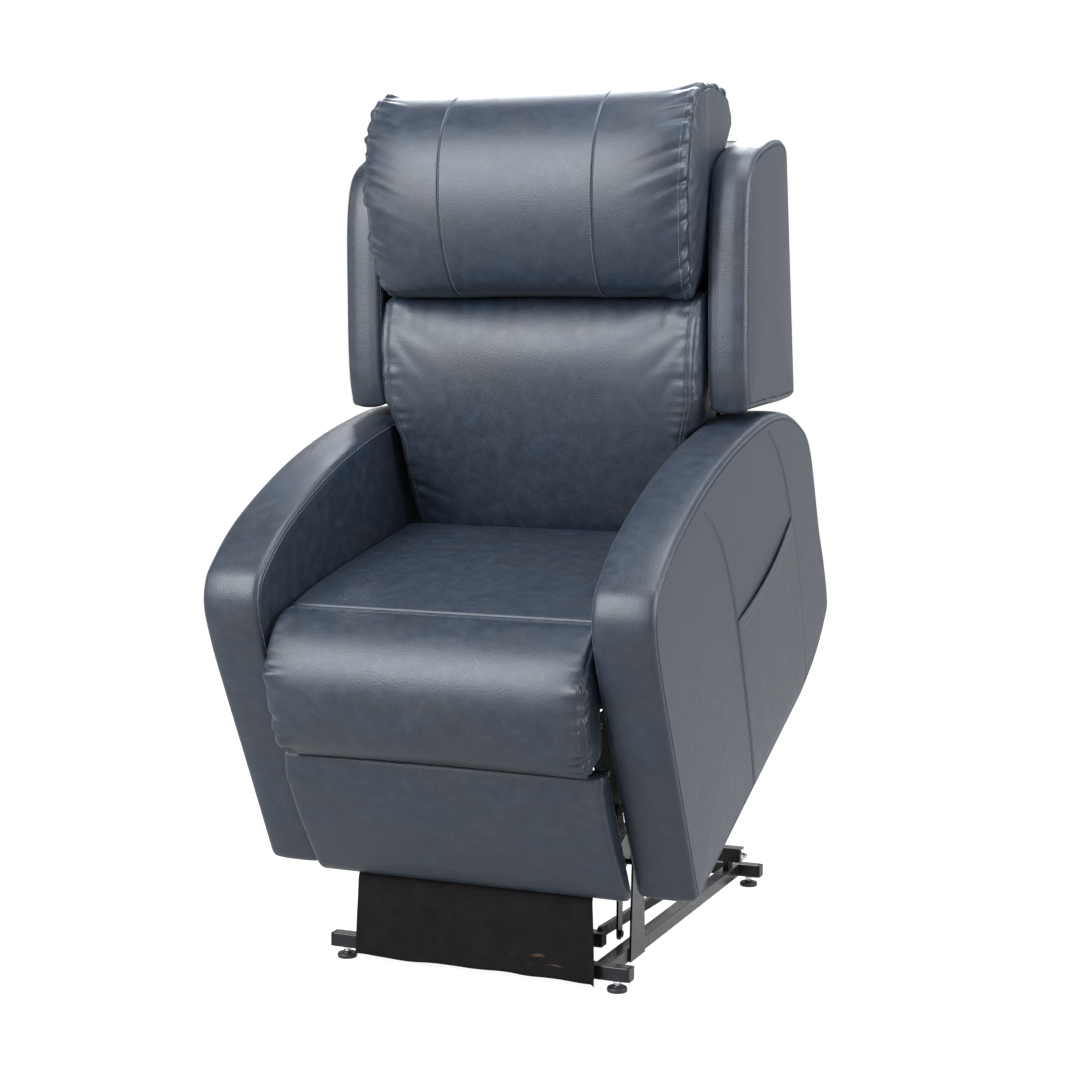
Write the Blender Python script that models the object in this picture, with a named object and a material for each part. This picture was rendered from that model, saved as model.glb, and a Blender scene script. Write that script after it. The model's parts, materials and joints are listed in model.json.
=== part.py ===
"""Lift recliner chair, modelled in its raised, forward-tilted position.

Metres, +Z up. The chair faces -Y, and +X is the sitter's left. Two frames are used:
the base frame, whose origin is on the floor at the front of the front crossbar, and the
chair frame, which is the base frame raised and tilted by the lift. In the chair frame a
point is (x, back, up), where back and up are zero at the arms' lower front corner.
"""

import math

import bmesh
import bpy
from mathutils import Vector
from mathutils.geometry import convex_hull_2d

# ---------------------------------------------------------------- driving dimensions
GAP = 0.0003                      # clearance between pieces that touch
BASE_ORIGIN_Y = -0.2938           # base frame origin, so that the whole chair is centred

TUBE = 0.0254                     # square tube of the base
TUBE_BOTTOM = 0.0208              # height of the base above the floor, set by the feet
TUBE_TOP = TUBE_BOTTOM + TUBE
BASE_LENGTH = 0.8013              # front face of front crossbar to back face of rear one
CROSSBAR_HALF = 0.2913            # half length, end caps included
CAP_LENGTH = 0.0040
RAIL_OUTER = 0.2465               # outer face of each side rail
FOOT_X = 0.2640
FOOT_RADIUS = 0.0180

TILT_RAISED = math.radians(22.3)  # forward tilt of the chair when fully raised
RAISED_HEIGHT = 0.1714            # arms' lower front corner above the floor, raised

ARM_OUTER = 0.4127                # half width of the chair
ARM_INNER = 0.3032                # inner face of each arm
SEAT_HALF = 0.2985
WING_OUTER = 0.3985
WING_INNER = 0.3250
BACK_HALF = 0.3245                # half width of the back above the arms

LIFT_ARM_PIVOT = (0.1550, 0.2600)      # on the base, (y, z)
LIFT_LINK_PIVOT = (0.1550, 0.1950)     # on the base, (y, z)
LIFT_ARM_HANGER = (0.4210, 0.0830)     # on the chair, (back, up)
LIFT_LINK_HANGER = (0.3030, 0.0230)    # on the chair, (back, up)
LIFT_CRANK_LENGTH = 0.1200
LIFT_CRANK_ANGLE = math.radians(54.6)  # crank ahead of the lift arm
LIFT_ACTUATOR_PIVOT = (0.7050, 0.0850)

SEAT_ROLL_PIVOT = (0.0600, 0.5120)     # on the chair, where the seat roll is sewn on
FOOTREST_PIVOT = (0.1500, 0.3250)      # on the chair
FOOTREST_ELBOW = (0.2260, 0.0920)
FOOTREST_PANEL_PIVOT = (0.0200, 0.1700)
FOOTREST_CRANK = (0.1970, 0.2800)
FOOTREST_ROD_END = (0.2200, 0.2770)    # the rod's eye, just behind the cross tube
FOOTREST_ACTUATOR_PIVOT = (0.5780, 0.2175)

BACK_PIVOT = (0.6600, 0.3300)
BACK_CRANK = (0.6905, 0.2506)
BACK_ACTUATOR_PIVOT = (0.3170, 0.2950)

PLATE = 0.0040                    # thickness of brackets and links
ACTUATOR_PIN_BORE = 0.0053
STRAP_X = 0.2125                  # inner faces of the plates, from the middle outwards
LIFT_LINK_X = 0.2225
LIFT_ARM_X = 0.2340
LIFT_ARM_THICK = 0.0060
TOWER_X = 0.2468
SIDE_WEB_X = 0.2530
PANEL_BRACKET_X = 0.2770
FOOTREST_LINK_X = 0.2830
FOOTREST_ARM_X = 0.2890
SIDE_PLATE_X = 0.2950
PIN_RADIUS = 0.0050
PIN_CLEARANCE = 0.0003

FOOTREST_ACTUATOR_X = -0.0900
BACK_ACTUATOR_X = 0.1400

SIDES = (("left", 1.0), ("right", -1.0))


# ---------------------------------------------------------------- frames
def chair_to_base(point):
    """A chair-frame (back, up) point as base-frame (y, z), with the chair raised."""
    back, up = point
    y = back * math.cos(TILT_RAISED) - up * math.sin(TILT_RAISED)
    z = RAISED_HEIGHT + back * math.sin(TILT_RAISED) + up * math.cos(TILT_RAISED)
    return (y, z)


def polar(centre, radius, angle):
    return (centre[0] + radius * math.cos(angle), centre[1] + radius * math.sin(angle))


def direction(start, end):
    return math.atan2(end[1] - start[1], end[0] - start[0])


def distance(start, end):
    return math.hypot(end[0] - start[0], end[1] - start[1])


class Frame:
    """An empty on a pivot, with the offset that turns its parent frame's points into its own."""

    def __init__(self, name, parent=None, pivot=(0.0, 0.0), angle=0.0):
        self.empty = bpy.data.objects.new(name, None)
        bpy.context.collection.objects.link(self.empty)
        self.empty.empty_display_size = 0.03
        self.pivot = pivot
        parent_pivot = parent.pivot if parent else (0.0, 0.0)
        self.empty.location = (0.0, pivot[0] - parent_pivot[0], pivot[1] - parent_pivot[1])
        self.empty.rotation_euler = (angle, 0.0, 0.0)
        if parent:
            self.empty.parent = parent.empty


# ---------------------------------------------------------------- outlines
def curve_through(points, steps=4):
    """A smooth open curve through the points (Catmull-Rom)."""
    padded = [points[0]] + list(points) + [points[-1]]
    curve = []
    for first, start, end, last in zip(padded, padded[1:], padded[2:], padded[3:]):
        for step in range(steps):
            t = step / steps
            point = []
            for a, b, c, d in zip(first, start, end, last):
                cubic = -a + 3.0 * b - 3.0 * c + d
                square = 2.0 * a - 5.0 * b + 4.0 * c - d
                point.append(0.5 * (2.0 * b + (c - a) * t + square * t * t + cubic * t ** 3))
            curve.append(tuple(point))
    return curve + [tuple(points[-1])]


def hull_outline(centres, radius, count=20):
    """A plate with rounded ends: the outline around equal circles."""
    ring = []
    for centre in centres:
        for index in range(count):
            ring.append(Vector(polar(centre, radius, 2.0 * math.pi * index / count)))
    return [tuple(ring[index]) for index in convex_hull_2d(ring)]


def rectangle(back, up):
    return [(back[0], up[0]), (back[1], up[0]), (back[1], up[1]), (back[0], up[1])]


# ---------------------------------------------------------------- solids
def material(name, colour, roughness, metallic):
    made = bpy.data.materials.new(name)
    made.use_nodes = True
    shader = made.node_tree.nodes["Principled BSDF"]
    shader.inputs["Base Color"].default_value = (*colour, 1.0)
    shader.inputs["Roughness"].default_value = roughness
    shader.inputs["Metallic"].default_value = metallic
    made.diffuse_color = (*colour, 1.0)
    return made


def add_object(name, mesh, frame, look):
    made = bpy.data.objects.new(name, mesh)
    bpy.context.collection.objects.link(made)
    made.parent = frame.empty
    if look:
        mesh.materials.append(look)
    return made


def finish_mesh(name, bm):
    bmesh.ops.recalc_face_normals(bm, faces=bm.faces)
    mesh = bpy.data.meshes.new(name)
    bm.to_mesh(mesh)
    bm.free()
    return mesh


def prism(name, outline, low, high, frame, look=None):
    """A side-on outline carried across from x = low to x = high."""
    bm = bmesh.new()
    ends = []
    for x in (low, high):
        ends.append([bm.verts.new((x, a - frame.pivot[0], b - frame.pivot[1])) for a, b in outline])
    bm.faces.new(ends[0])
    bm.faces.new(ends[1])
    count = len(outline)
    for index in range(count):
        after = (index + 1) % count
        bm.faces.new((ends[0][index], ends[0][after], ends[1][after], ends[1][index]))
    return add_object(name, finish_mesh(name, bm), frame, look)


def block(name, x, back, up, frame, look=None):
    return prism(name, rectangle(back, up), x[0], x[1], frame, look)


def turned(name, profile, centre, axis, frame, look=None, segments=20, bored=False):
    """A turned solid. The profile lists (radius, distance along the axis).

    A solid profile starts and ends on the axis; a bored one closes on itself.
    """
    bm = bmesh.new()
    rings = []
    for radius, along in profile:
        ring = []
        for index in range(segments if radius else 1):
            turn = 2.0 * math.pi * index / segments
            a, b = radius * math.cos(turn), radius * math.sin(turn)
            local = {"X": (along, a, b), "Y": (a, along, b), "Z": (a, b, along)}[axis]
            point = [local[i] + centre[i] for i in range(3)]
            ring.append(bm.verts.new((point[0], point[1] - frame.pivot[0], point[2] - frame.pivot[1])))
        rings.append(ring)
    pairs = list(zip(rings, rings[1:]))
    if bored:
        pairs.append((rings[-1], rings[0]))
    for near, far in pairs:
        for index in range(segments):
            after = (index + 1) % segments
            corners = [near[index % len(near)], near[after % len(near)]]
            corners += [far[after % len(far)], far[index % len(far)]]
            bm.faces.new(list(dict.fromkeys(corners)))
    return add_object(name, finish_mesh(name, bm), frame, look)


def pin(name, centre, radius, low, high, frame, look=None):
    """A round pin across the chair, from x = low to x = high."""
    low, high = min(low, high), max(low, high)
    profile = [(0.0, low), (radius, low), (radius, high), (0.0, high)]
    return turned(name, profile, (0.0, centre[0], centre[1]), "X", frame, look)


def helper(made):
    made.hide_render = True
    made.display_type = "WIRE"
    return made


def fuse(target, *tools):
    """Weld the tools to the target."""
    for tool in tools:
        modifier = target.modifiers.new("weld", "BOOLEAN")
        modifier.operation = "UNION"
        modifier.object = helper(tool)
    return target


def bore(target, centres, x, frame, radius=PIN_RADIUS + PIN_CLEARANCE):
    """Cut round holes through a plate that lies between x[0] and x[1]."""
    low, high = min(x) - 0.002, max(x) + 0.002
    for centre in centres:
        modifier = target.modifiers.new("bore", "BOOLEAN")
        modifier.operation = "DIFFERENCE"
        modifier.object = helper(pin(target.name + "_bore", centre, radius, low, high, frame))
    return target


def soften(target, width, segments=2):
    """Round the sharp edges."""
    modifier = target.modifiers.new("round", "BEVEL")
    modifier.width = width
    modifier.segments = segments
    modifier.limit_method = "ANGLE"
    modifier.angle_limit = math.radians(40.0)
    return target


def taper(target, frame, levels, half_widths):
    """Give a cushion the stated half widths at the stated heights, straight between them."""
    mesh = target.data
    bm = bmesh.new()
    bm.from_mesh(mesh)
    for level in levels:
        geometry = bm.verts[:] + bm.edges[:] + bm.faces[:]
        point = (0.0, 0.0, level - frame.pivot[1])
        bmesh.ops.bisect_plane(bm, geom=geometry, dist=1e-6, plane_co=point, plane_no=(0.0, 0.0, 1.0))
    bmesh.ops.triangulate(bm, faces=[face for face in bm.faces if abs(face.normal.x) > 0.9])
    for vert in bm.verts:
        up = vert.co.z + frame.pivot[1]
        width = half_widths[0]
        for index in range(len(levels) - 1):
            if up > levels[index]:
                share = min(1.0, (up - levels[index]) / (levels[index + 1] - levels[index]))
                width = half_widths[index] + share * (half_widths[index + 1] - half_widths[index])
        vert.co.x = math.copysign(width, vert.co.x)
    bm.to_mesh(mesh)
    bm.free()
    return target


def span(side, start, thickness):
    """The x range of a plate on one side of the chair."""
    return tuple(sorted((side * start, side * (start + thickness))))


# ---------------------------------------------------------------- base
def build_base(base, looks):
    steel = looks["frame"]
    tube_up = (TUBE_BOTTOM, TUBE_TOP)
    tube_end = CROSSBAR_HALF - CAP_LENGTH
    rear = BASE_LENGTH - TUBE
    for name, y in (("front", 0.0), ("rear", rear)):
        bar = block(name + "_crossbar", (-tube_end, tube_end), (y, y + TUBE), tube_up, base, steel)
        soften(bar, 0.0015)
        for side_name, side in SIDES:
            x = span(side, tube_end + GAP, CAP_LENGTH - GAP)
            cap = block(f"end_cap_{name}_{side_name}", x, (y, y + TUBE), tube_up, base, looks["plastic"])
            soften(cap, 0.0015)
            build_foot(f"levelling_foot_{name}_{side_name}", side * FOOT_X, y + TUBE / 2.0, base, looks)
    for side_name, side in SIDES:
        x = span(side, RAIL_OUTER - TUBE, TUBE)
        soften(block("rail_" + side_name, x, (TUBE + GAP, rear - GAP), tube_up, base, steel), 0.0015)
        build_tower(side_name, side, base, looks)
    build_rear_tube(base, looks)
    build_inner_frame(base, looks)
    build_skirt(base, looks)


def build_foot(name, x, y, base, looks):
    """A levelling foot: a moulded disc on a stud, turned to set its height."""
    frame = Frame(name + "_axis", base, (y, 0.0))
    top = TUBE_BOTTOM - GAP
    profile = [(0.0, 0.0), (FOOT_RADIUS, 0.0), (FOOT_RADIUS, 0.0075), (FOOT_RADIUS - 0.0025, 0.0100)]
    profile += [(0.0080, 0.0110), (0.0080, 0.0125), (0.0045, 0.0128), (0.0045, 0.0165)]
    profile += [(0.0075, 0.0168), (0.0075, top), (0.0, top)]
    frame.empty.location.x = x
    turned(name, profile, (0.0, y, 0.0), "Z", frame, looks["rubber"], segments=24)


def build_tower(side_name, side, base, looks):
    """The upright on each rail: an outer plate and an inner strap that hold the lift pivots."""
    pivots = (LIFT_ARM_PIVOT, LIFT_LINK_PIVOT)
    x = span(side, TOWER_X, PLATE)
    crown = hull_outline([LIFT_ARM_PIVOT], 0.0240)
    foot = [Vector((0.1180, TUBE_BOTTOM)), Vector((0.1920, TUBE_BOTTOM))]
    ring = [Vector(point) for point in crown] + foot
    outline = [tuple(ring[index]) for index in convex_hull_2d(ring)]
    plate = prism("tower_plate_" + side_name, outline, x[0], x[1], base, looks["frame"])
    bore(plate, pivots, x, base)

    x = span(side, STRAP_X, PLATE)
    strap = prism("tower_strap_" + side_name, hull_outline([LIFT_ARM_PIVOT, (0.1550, 0.0600)], 0.0110),
                  x[0], x[1], base, looks["frame"])
    bolt_x = (side * (STRAP_X + 0.0010), side * (STRAP_X + 0.0082))
    bolt = pin("strap_bolt", (0.1550, 0.0600), 0.0065, *bolt_x, base)
    bore(fuse(strap, bolt), pivots, x, base)


def build_rear_tube(base, looks):
    """The raised cross tube over the rear crossbar, with the lift actuator's lugs."""
    y, z, half = 0.7450, 0.0750, 0.0140
    end = 0.2620
    tube = block("rear_tube", (-end, end), (y - half, y + half), (z - half, z + half), base, looks["frame"])
    welds = []
    for side_name, side in SIDES:
        x = span(side, 0.2260, 0.0120)
        welds.append(block("tube_stand", x, (y - half, y + half), (TUBE_TOP + GAP, z), base))
        x = span(side, 0.0170, 0.0050)
        outline = hull_outline([LIFT_ACTUATOR_PIVOT, (y, z + 0.002)], 0.0120)
        welds.append(prism("actuator_lug", outline, x[0], x[1], base))
        profile = [(0.0, 0.0), (0.0110, 0.0), (0.0110, 0.0020), (0.0078, 0.0022), (0.0078, 0.0090)]
        profile += [(0.0045, 0.0092), (0.0045, 0.0120), (0.0, 0.0120)]
        profile = [(radius, side * (end + GAP + along)) for radius, along in profile]
        turned("rear_bolt_" + side_name, profile, (0.0, y, z), "X", base, looks["zinc"], segments=18)
    bore(fuse(tube, *welds), [LIFT_ACTUATOR_PIVOT], (-0.022, 0.022), base, ACTUATOR_PIN_BORE)


def build_inner_frame(base, looks):
    """The low inner frame: a cross tube behind the front crossbar with two bars running back."""
    x_end = 0.2050
    tube = block("inner_frame", (-x_end, x_end), (0.0900, 0.1150), (0.0500, 0.0750), base, looks["frame"])
    bar = hull_outline([(0.1150, 0.0720), (0.4600, 0.0580)], 0.0100)
    fuse(tube, *[prism("inner_bar", bar, *span(side, 0.1900, 0.0080), base) for _, side in SIDES])


def build_skirt(base, looks):
    """The fabric skirt that closes the front under the chair. It folds as the chair comes down."""
    y, z = (-0.0130, -0.0112), (0.0190, 0.1680)
    skirt = block("front_skirt", (-0.2250, 0.2250), y, z, base, looks["cloth"])
    for vert in skirt.data.vertices:
        if vert.co.z < 0.1:
            vert.co.x *= 1.04
    return skirt


# ---------------------------------------------------------------- lift linkage
def build_lift(base, looks):
    arm_end = chair_to_base(LIFT_ARM_HANGER)
    arm_angle = direction(LIFT_ARM_PIVOT, arm_end)
    crank = polar(LIFT_ARM_PIVOT, LIFT_CRANK_LENGTH, arm_angle + LIFT_CRANK_ANGLE)
    arms = Frame("lift_arm_axis", base, LIFT_ARM_PIVOT)
    for side_name, side in SIDES:
        x = span(side, LIFT_ARM_X, LIFT_ARM_THICK)
        outline = hull_outline([LIFT_ARM_PIVOT, arm_end], 0.0180)
        arm = prism("lift_arm_" + side_name, outline, *x, arms, looks["frame"])
        pin_x = (side * (LIFT_ARM_X + 0.0020), side * (SIDE_WEB_X + PLATE))
        hanger = pin("hanger_pin", arm_end, PIN_RADIUS, *pin_x, arms)
        fuse(bore(arm, [LIFT_ARM_PIVOT], x, arms), hanger)
    tube_half = STRAP_X - 0.0010
    tube = pin("lift_torque_tube", LIFT_ARM_PIVOT, 0.0160, -tube_half, tube_half, arms, looks["frame"])
    parts = [pin("stub", LIFT_ARM_PIVOT, PIN_RADIUS, -TOWER_X - PLATE, TOWER_X + PLATE, arms)]
    for _, side in SIDES:
        x = span(side, 0.0150, 0.0050)
        parts.append(prism("crank", hull_outline([LIFT_ARM_PIVOT, crank], 0.0120), *x, arms))
    fuse(tube, *parts)

    link_end = chair_to_base(LIFT_LINK_HANGER)
    links = Frame("lift_link_axis", base, LIFT_LINK_PIVOT)
    for side_name, side in SIDES:
        x = span(side, LIFT_LINK_X, PLATE)
        outline = hull_outline([LIFT_LINK_PIVOT, link_end], 0.0108)
        link = prism("lift_link_" + side_name, outline, *x, links, looks["frame"])
        pin_x = (side * STRAP_X, side * (TOWER_X + PLATE))
        through = pin("link_pin", LIFT_LINK_PIVOT, PIN_RADIUS, *pin_x, links)
        fuse(link, through)

    build_actuator("lift", LIFT_ACTUATOR_PIVOT, crank, 0.0, 0.3400, (0.1420, 0.0), base, looks, 0.0165)


def build_actuator(name, pivot, target, x, tube_end, travel, frame, looks, radius):
    """A linear actuator, built along its own +Y axis from its rear pivot towards its rod end.

    travel is how far the rod moves in and how far it moves out, from the raised position.
    """
    angle = direction(pivot, target)
    reach = distance(pivot, target)
    body = Frame(name + "_actuator_axis", frame, pivot, angle)
    body.pivot = (0.0, 0.0)
    rod_radius = radius * 0.58
    bore_radius = rod_radius + 0.0004
    rod_start = tube_end - travel[1] - 0.0300
    bore_bottom = rod_start - travel[0] - 0.0050
    profile = [(0.0, 0.0350), (radius, 0.0350), (radius, tube_end), (bore_radius, tube_end)]
    profile += [(bore_radius, bore_bottom), (0.0, bore_bottom)]
    outer = turned(name + "_actuator", profile, (x, 0.0, 0.0), "Y", body, looks["motor"])
    gearbox = block("gearbox", (x - 0.0190, x + 0.0560), (0.0180, 0.0700), (-0.0210, 0.0210), body)
    motor_profile = [(0.0, 0.0600), (0.0180, 0.0600), (0.0180, 0.1500), (0.0150, 0.1540), (0.0, 0.1540)]
    motor = turned("motor", motor_profile, (x + 0.0370, 0.0, 0.0), "Y", body)
    eye = prism("rear_eye", hull_outline([(0.0, 0.0), (0.0260, 0.0)], 0.0110), x - 0.0120, x + 0.0120, body)
    fuse(outer, gearbox, motor, eye)
    bore(outer, [(0.0, 0.0)], (x - 0.0120, x + 0.0120), body, ACTUATOR_PIN_BORE)

    slide = Frame(name + "_rod_axis", frame, pivot, angle)
    slide.pivot = (0.0, 0.0)
    profile = [(0.0, rod_start), (rod_radius, rod_start), (rod_radius, reach - 0.0080)]
    profile += [(0.0, reach - 0.0080)]
    rod = turned(name + "_actuator_rod", profile, (x, 0.0, 0.0), "Y", slide, looks["zinc"], segments=16)
    eye_x = (x - 0.0110, x + 0.0110)
    rod_eye = prism("rod_eye", hull_outline([(reach - 0.0060, 0.0), (reach, 0.0)], 0.0110), *eye_x, slide)
    bore(fuse(rod, rod_eye), [(reach, 0.0)], eye_x, slide, ACTUATOR_PIN_BORE)


# ---------------------------------------------------------------- seat frame
def build_seat_frame(chair, looks):
    deck_front, deck_rear = (0.0200, 0.3860), (0.5950, 0.2960)
    deck_thick = 0.0160
    for side_name, side in SIDES:
        build_side_frame(side_name, side, chair, looks)
    steel = looks["frame"]
    web_inner = SIDE_WEB_X - GAP
    plate_inner = SIDE_PLATE_X - GAP
    low_x, high_x = (-web_inner, web_inner), (-plate_inner, plate_inner)
    low = block("front_stretcher", low_x, (0.0600, 0.0850), (0.0300, 0.0550), chair, steel)
    soften(low, 0.0015)
    front = block("actuator_stretcher", high_x, (0.2700, 0.2950), (0.2850, 0.3050), chair, steel)
    rear = block("rear_stretcher", high_x, (0.6100, 0.6350), (0.2050, 0.2300), chair, steel)
    build_stretcher_lugs(front, BACK_ACTUATOR_PIVOT, (0.2900, 0.2950), BACK_ACTUATOR_X, chair)
    build_stretcher_lugs(rear, FOOTREST_ACTUATOR_PIVOT, (0.6150, 0.2175), FOOTREST_ACTUATOR_X, chair)

    underside = [(deck_front[0], deck_front[1] - deck_thick), (deck_rear[0], deck_rear[1] - deck_thick)]
    prism("seat_deck", underside + [deck_rear, deck_front], -SEAT_HALF, SEAT_HALF, chair, looks["wood"])

    top = curve_through([(0.0750, 0.5090), (0.2000, 0.4960), (0.4000, 0.4560), (0.5430, 0.4260)], 3)
    lift = 2.0 * GAP
    bottom = [(deck_rear[0] - 0.0550, 0.3048 + lift), (0.0620, 0.3795 + lift)]
    cushion = prism("seat_cushion", top + bottom, -SEAT_HALF, SEAT_HALF, chair, looks["leather"])
    soften(cushion, 0.0120)

    front_curve = curve_through(
        [(0.0600, 0.5130), (0.0200, 0.5160), (-0.0350, 0.4950), (-0.0780, 0.4480),
         (-0.0950, 0.3950), (-0.0900, 0.3340), (-0.0660, 0.2920)], 3)
    outline = front_curve + [(-0.0100, 0.2920), (0.0050, 0.3140), (0.0050, 0.3920), (0.0600, 0.3860)]
    roll = Frame("seat_roll_axis", chair, SEAT_ROLL_PIVOT)
    soften(prism("seat_roll", outline, -SEAT_HALF, SEAT_HALF, roll, looks["leather"]), 0.0120)

    box = block("power_box", (0.0200, 0.1100), (0.4300, 0.5300), (0.2360, 0.2700), chair, looks["plastic"])
    soften(box, 0.0030)
    outline = [(0.9050, 0.0300), (0.9150, 0.0400), (0.9120, 0.2350), (0.9020, 0.2350)]
    half = ARM_INNER - 0.0010
    soften(prism("rear_panel", outline, -half, half, chair, looks["leather"]), 0.0020)


def build_stretcher_lugs(stretcher, pivot, root, x, chair):
    lugs = []
    for side in (1.0, -1.0):
        low, high = sorted((x + side * 0.0135, x + side * 0.0175))
        lugs.append(prism("stretcher_lug", hull_outline([pivot, root], 0.0085), low, high, chair))
    fuse(stretcher, *lugs)
    bore(stretcher, [pivot], (x - 0.0175, x + 0.0175), chair, ACTUATOR_PIN_BORE)


def build_side_frame(side_name, side, chair, looks):
    """One side of the steel seat frame: a low web for the lift, a shelf and a high plate."""
    web = [(0.0550, 0.0280), (0.0900, 0.0280), (0.1300, 0.0080), (0.7200, 0.0080), (0.7200, 0.1130),
           (0.2600, 0.1130), (0.2300, 0.0600), (0.0550, 0.0600)]
    x = span(side, SIDE_WEB_X, PLATE)
    made = prism("side_frame_" + side_name, web, x[0], x[1], chair, looks["frame"])
    shelf_x = span(side, SIDE_WEB_X, SIDE_PLATE_X + PLATE - SIDE_WEB_X)
    shelf = block("shelf", shelf_x, (0.2800, 0.7200), (0.1100, 0.1140), chair)
    plate_x = span(side, SIDE_PLATE_X, PLATE)
    high = [(0.3600, 0.1120), (0.7200, 0.1120), (0.7200, 0.2800), (0.6900, 0.3560), (0.6300, 0.3560),
            (0.6100, 0.2750), (0.0900, 0.3560), (0.0900, 0.2900), (0.1900, 0.2900)]
    plate = prism("plate", high, plate_x[0], plate_x[1], chair)
    fuse(made, shelf, plate)
    bore(made, [LIFT_ARM_HANGER], x, chair)
    bore(made, [FOOTREST_PIVOT, BACK_PIVOT], plate_x, chair)


# ---------------------------------------------------------------- arms
def arm_outline():
    front = [(0.0000, 0.0000), (-0.0120, 0.1800), (-0.0290, 0.4200), (-0.0310, 0.4900), (-0.0270, 0.5450),
             (-0.0080, 0.5820), (0.0250, 0.6060), (0.1300, 0.6380), (0.3000, 0.6520), (0.4600, 0.6440),
             (0.6160, 0.6190), (0.7090, 0.5950), (0.8000, 0.5530), (0.8810, 0.4850), (0.9080, 0.4300),
             (0.9140, 0.3600), (0.9170, 0.2500), (0.9270, 0.1760), (0.9280, 0.0900), (0.9060, 0.0590),
             (0.8240, 0.0230), (0.7400, 0.0060), (0.6850, 0.0000)]
    return curve_through(front, 2)


def build_arms(chair, looks):
    for side_name, side in SIDES:
        x = span(side, ARM_INNER, ARM_OUTER - ARM_INNER)
        arm = prism("arm_" + side_name, arm_outline(), x[0], x[1], chair, looks["leather"])
        soften(arm, 0.0070)


# ---------------------------------------------------------------- footrest
def build_footrest(chair, looks):
    steel = looks["frame"]
    arms = Frame("footrest_arm_axis", chair, FOOTREST_PIVOT)
    links = Frame("footrest_link_axis", chair, FOOTREST_ELBOW)
    panel = Frame("footrest_panel_axis", chair, FOOTREST_PANEL_PIVOT)
    for side_name, side in SIDES:
        x = span(side, FOOTREST_ARM_X, PLATE)
        outline = hull_outline([FOOTREST_PIVOT, FOOTREST_ELBOW], 0.0110)
        arm = prism("footrest_arm_" + side_name, outline, *x, arms, steel)
        pin_x = (side * FOOTREST_ARM_X, side * (SIDE_PLATE_X + PLATE))
        through = pin("arm_pin", FOOTREST_PIVOT, PIN_RADIUS, *pin_x, arms)
        gusset = prism("gusset", hull_outline([(0.1700, 0.2600), FOOTREST_CRANK], 0.0100), *x, arms)
        bore(fuse(arm, through, gusset), [FOOTREST_ELBOW], x, arms)

        x = span(side, FOOTREST_LINK_X, PLATE)
        outline = hull_outline([FOOTREST_ELBOW, FOOTREST_PANEL_PIVOT], 0.0100)
        link = prism("footrest_link_" + side_name, outline, *x, links, steel)
        pin_x = (side * FOOTREST_LINK_X, side * (FOOTREST_ARM_X + PLATE))
        elbow = pin("elbow_pin", FOOTREST_ELBOW, PIN_RADIUS, *pin_x, links)
        bore(fuse(link, elbow), [FOOTREST_PANEL_PIVOT], x, links)
    tube_half = FOOTREST_ARM_X - GAP
    pin("footrest_cross_tube", FOOTREST_CRANK, 0.0090, -tube_half, tube_half, arms, steel)

    face = curve_through([(-0.0550, 0.2790), (-0.0640, 0.2400), (-0.0560, 0.1500), (-0.0300, 0.0200)], 3)
    board = face + [(-0.0150, 0.0040), (0.0020, 0.0080), (-0.0205, 0.2790)]
    pad = prism("footrest_panel", board, -0.2980, 0.2980, panel, looks["leather"])
    soften(pad, 0.0080)
    for side_name, side in SIDES:
        x = span(side, PANEL_BRACKET_X, PLATE)
        outline = hull_outline([FOOTREST_PANEL_PIVOT, (0.0080, 0.1300), (0.0000, 0.2100)], 0.0080)
        bracket = prism("footrest_bracket_" + side_name, outline, *x, panel, steel)
        through = pin("panel_pin", FOOTREST_PANEL_PIVOT, PIN_RADIUS,
                      side * PANEL_BRACKET_X, side * (FOOTREST_LINK_X + PLATE), panel)
        clear_of = [(point[0] + GAP, point[1]) for point in board]
        slot = helper(prism("panel_face", clear_of, -SEAT_HALF, SEAT_HALF, panel))
        fuse(bracket, through)
        cut = bracket.modifiers.new("seat_on_panel", "BOOLEAN")
        cut.operation = "DIFFERENCE"
        cut.object = slot

    build_actuator("footrest", FOOTREST_ACTUATOR_PIVOT, FOOTREST_ROD_END, FOOTREST_ACTUATOR_X,
                   0.2600, (0.0, 0.1000), chair, looks, 0.0140)


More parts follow.
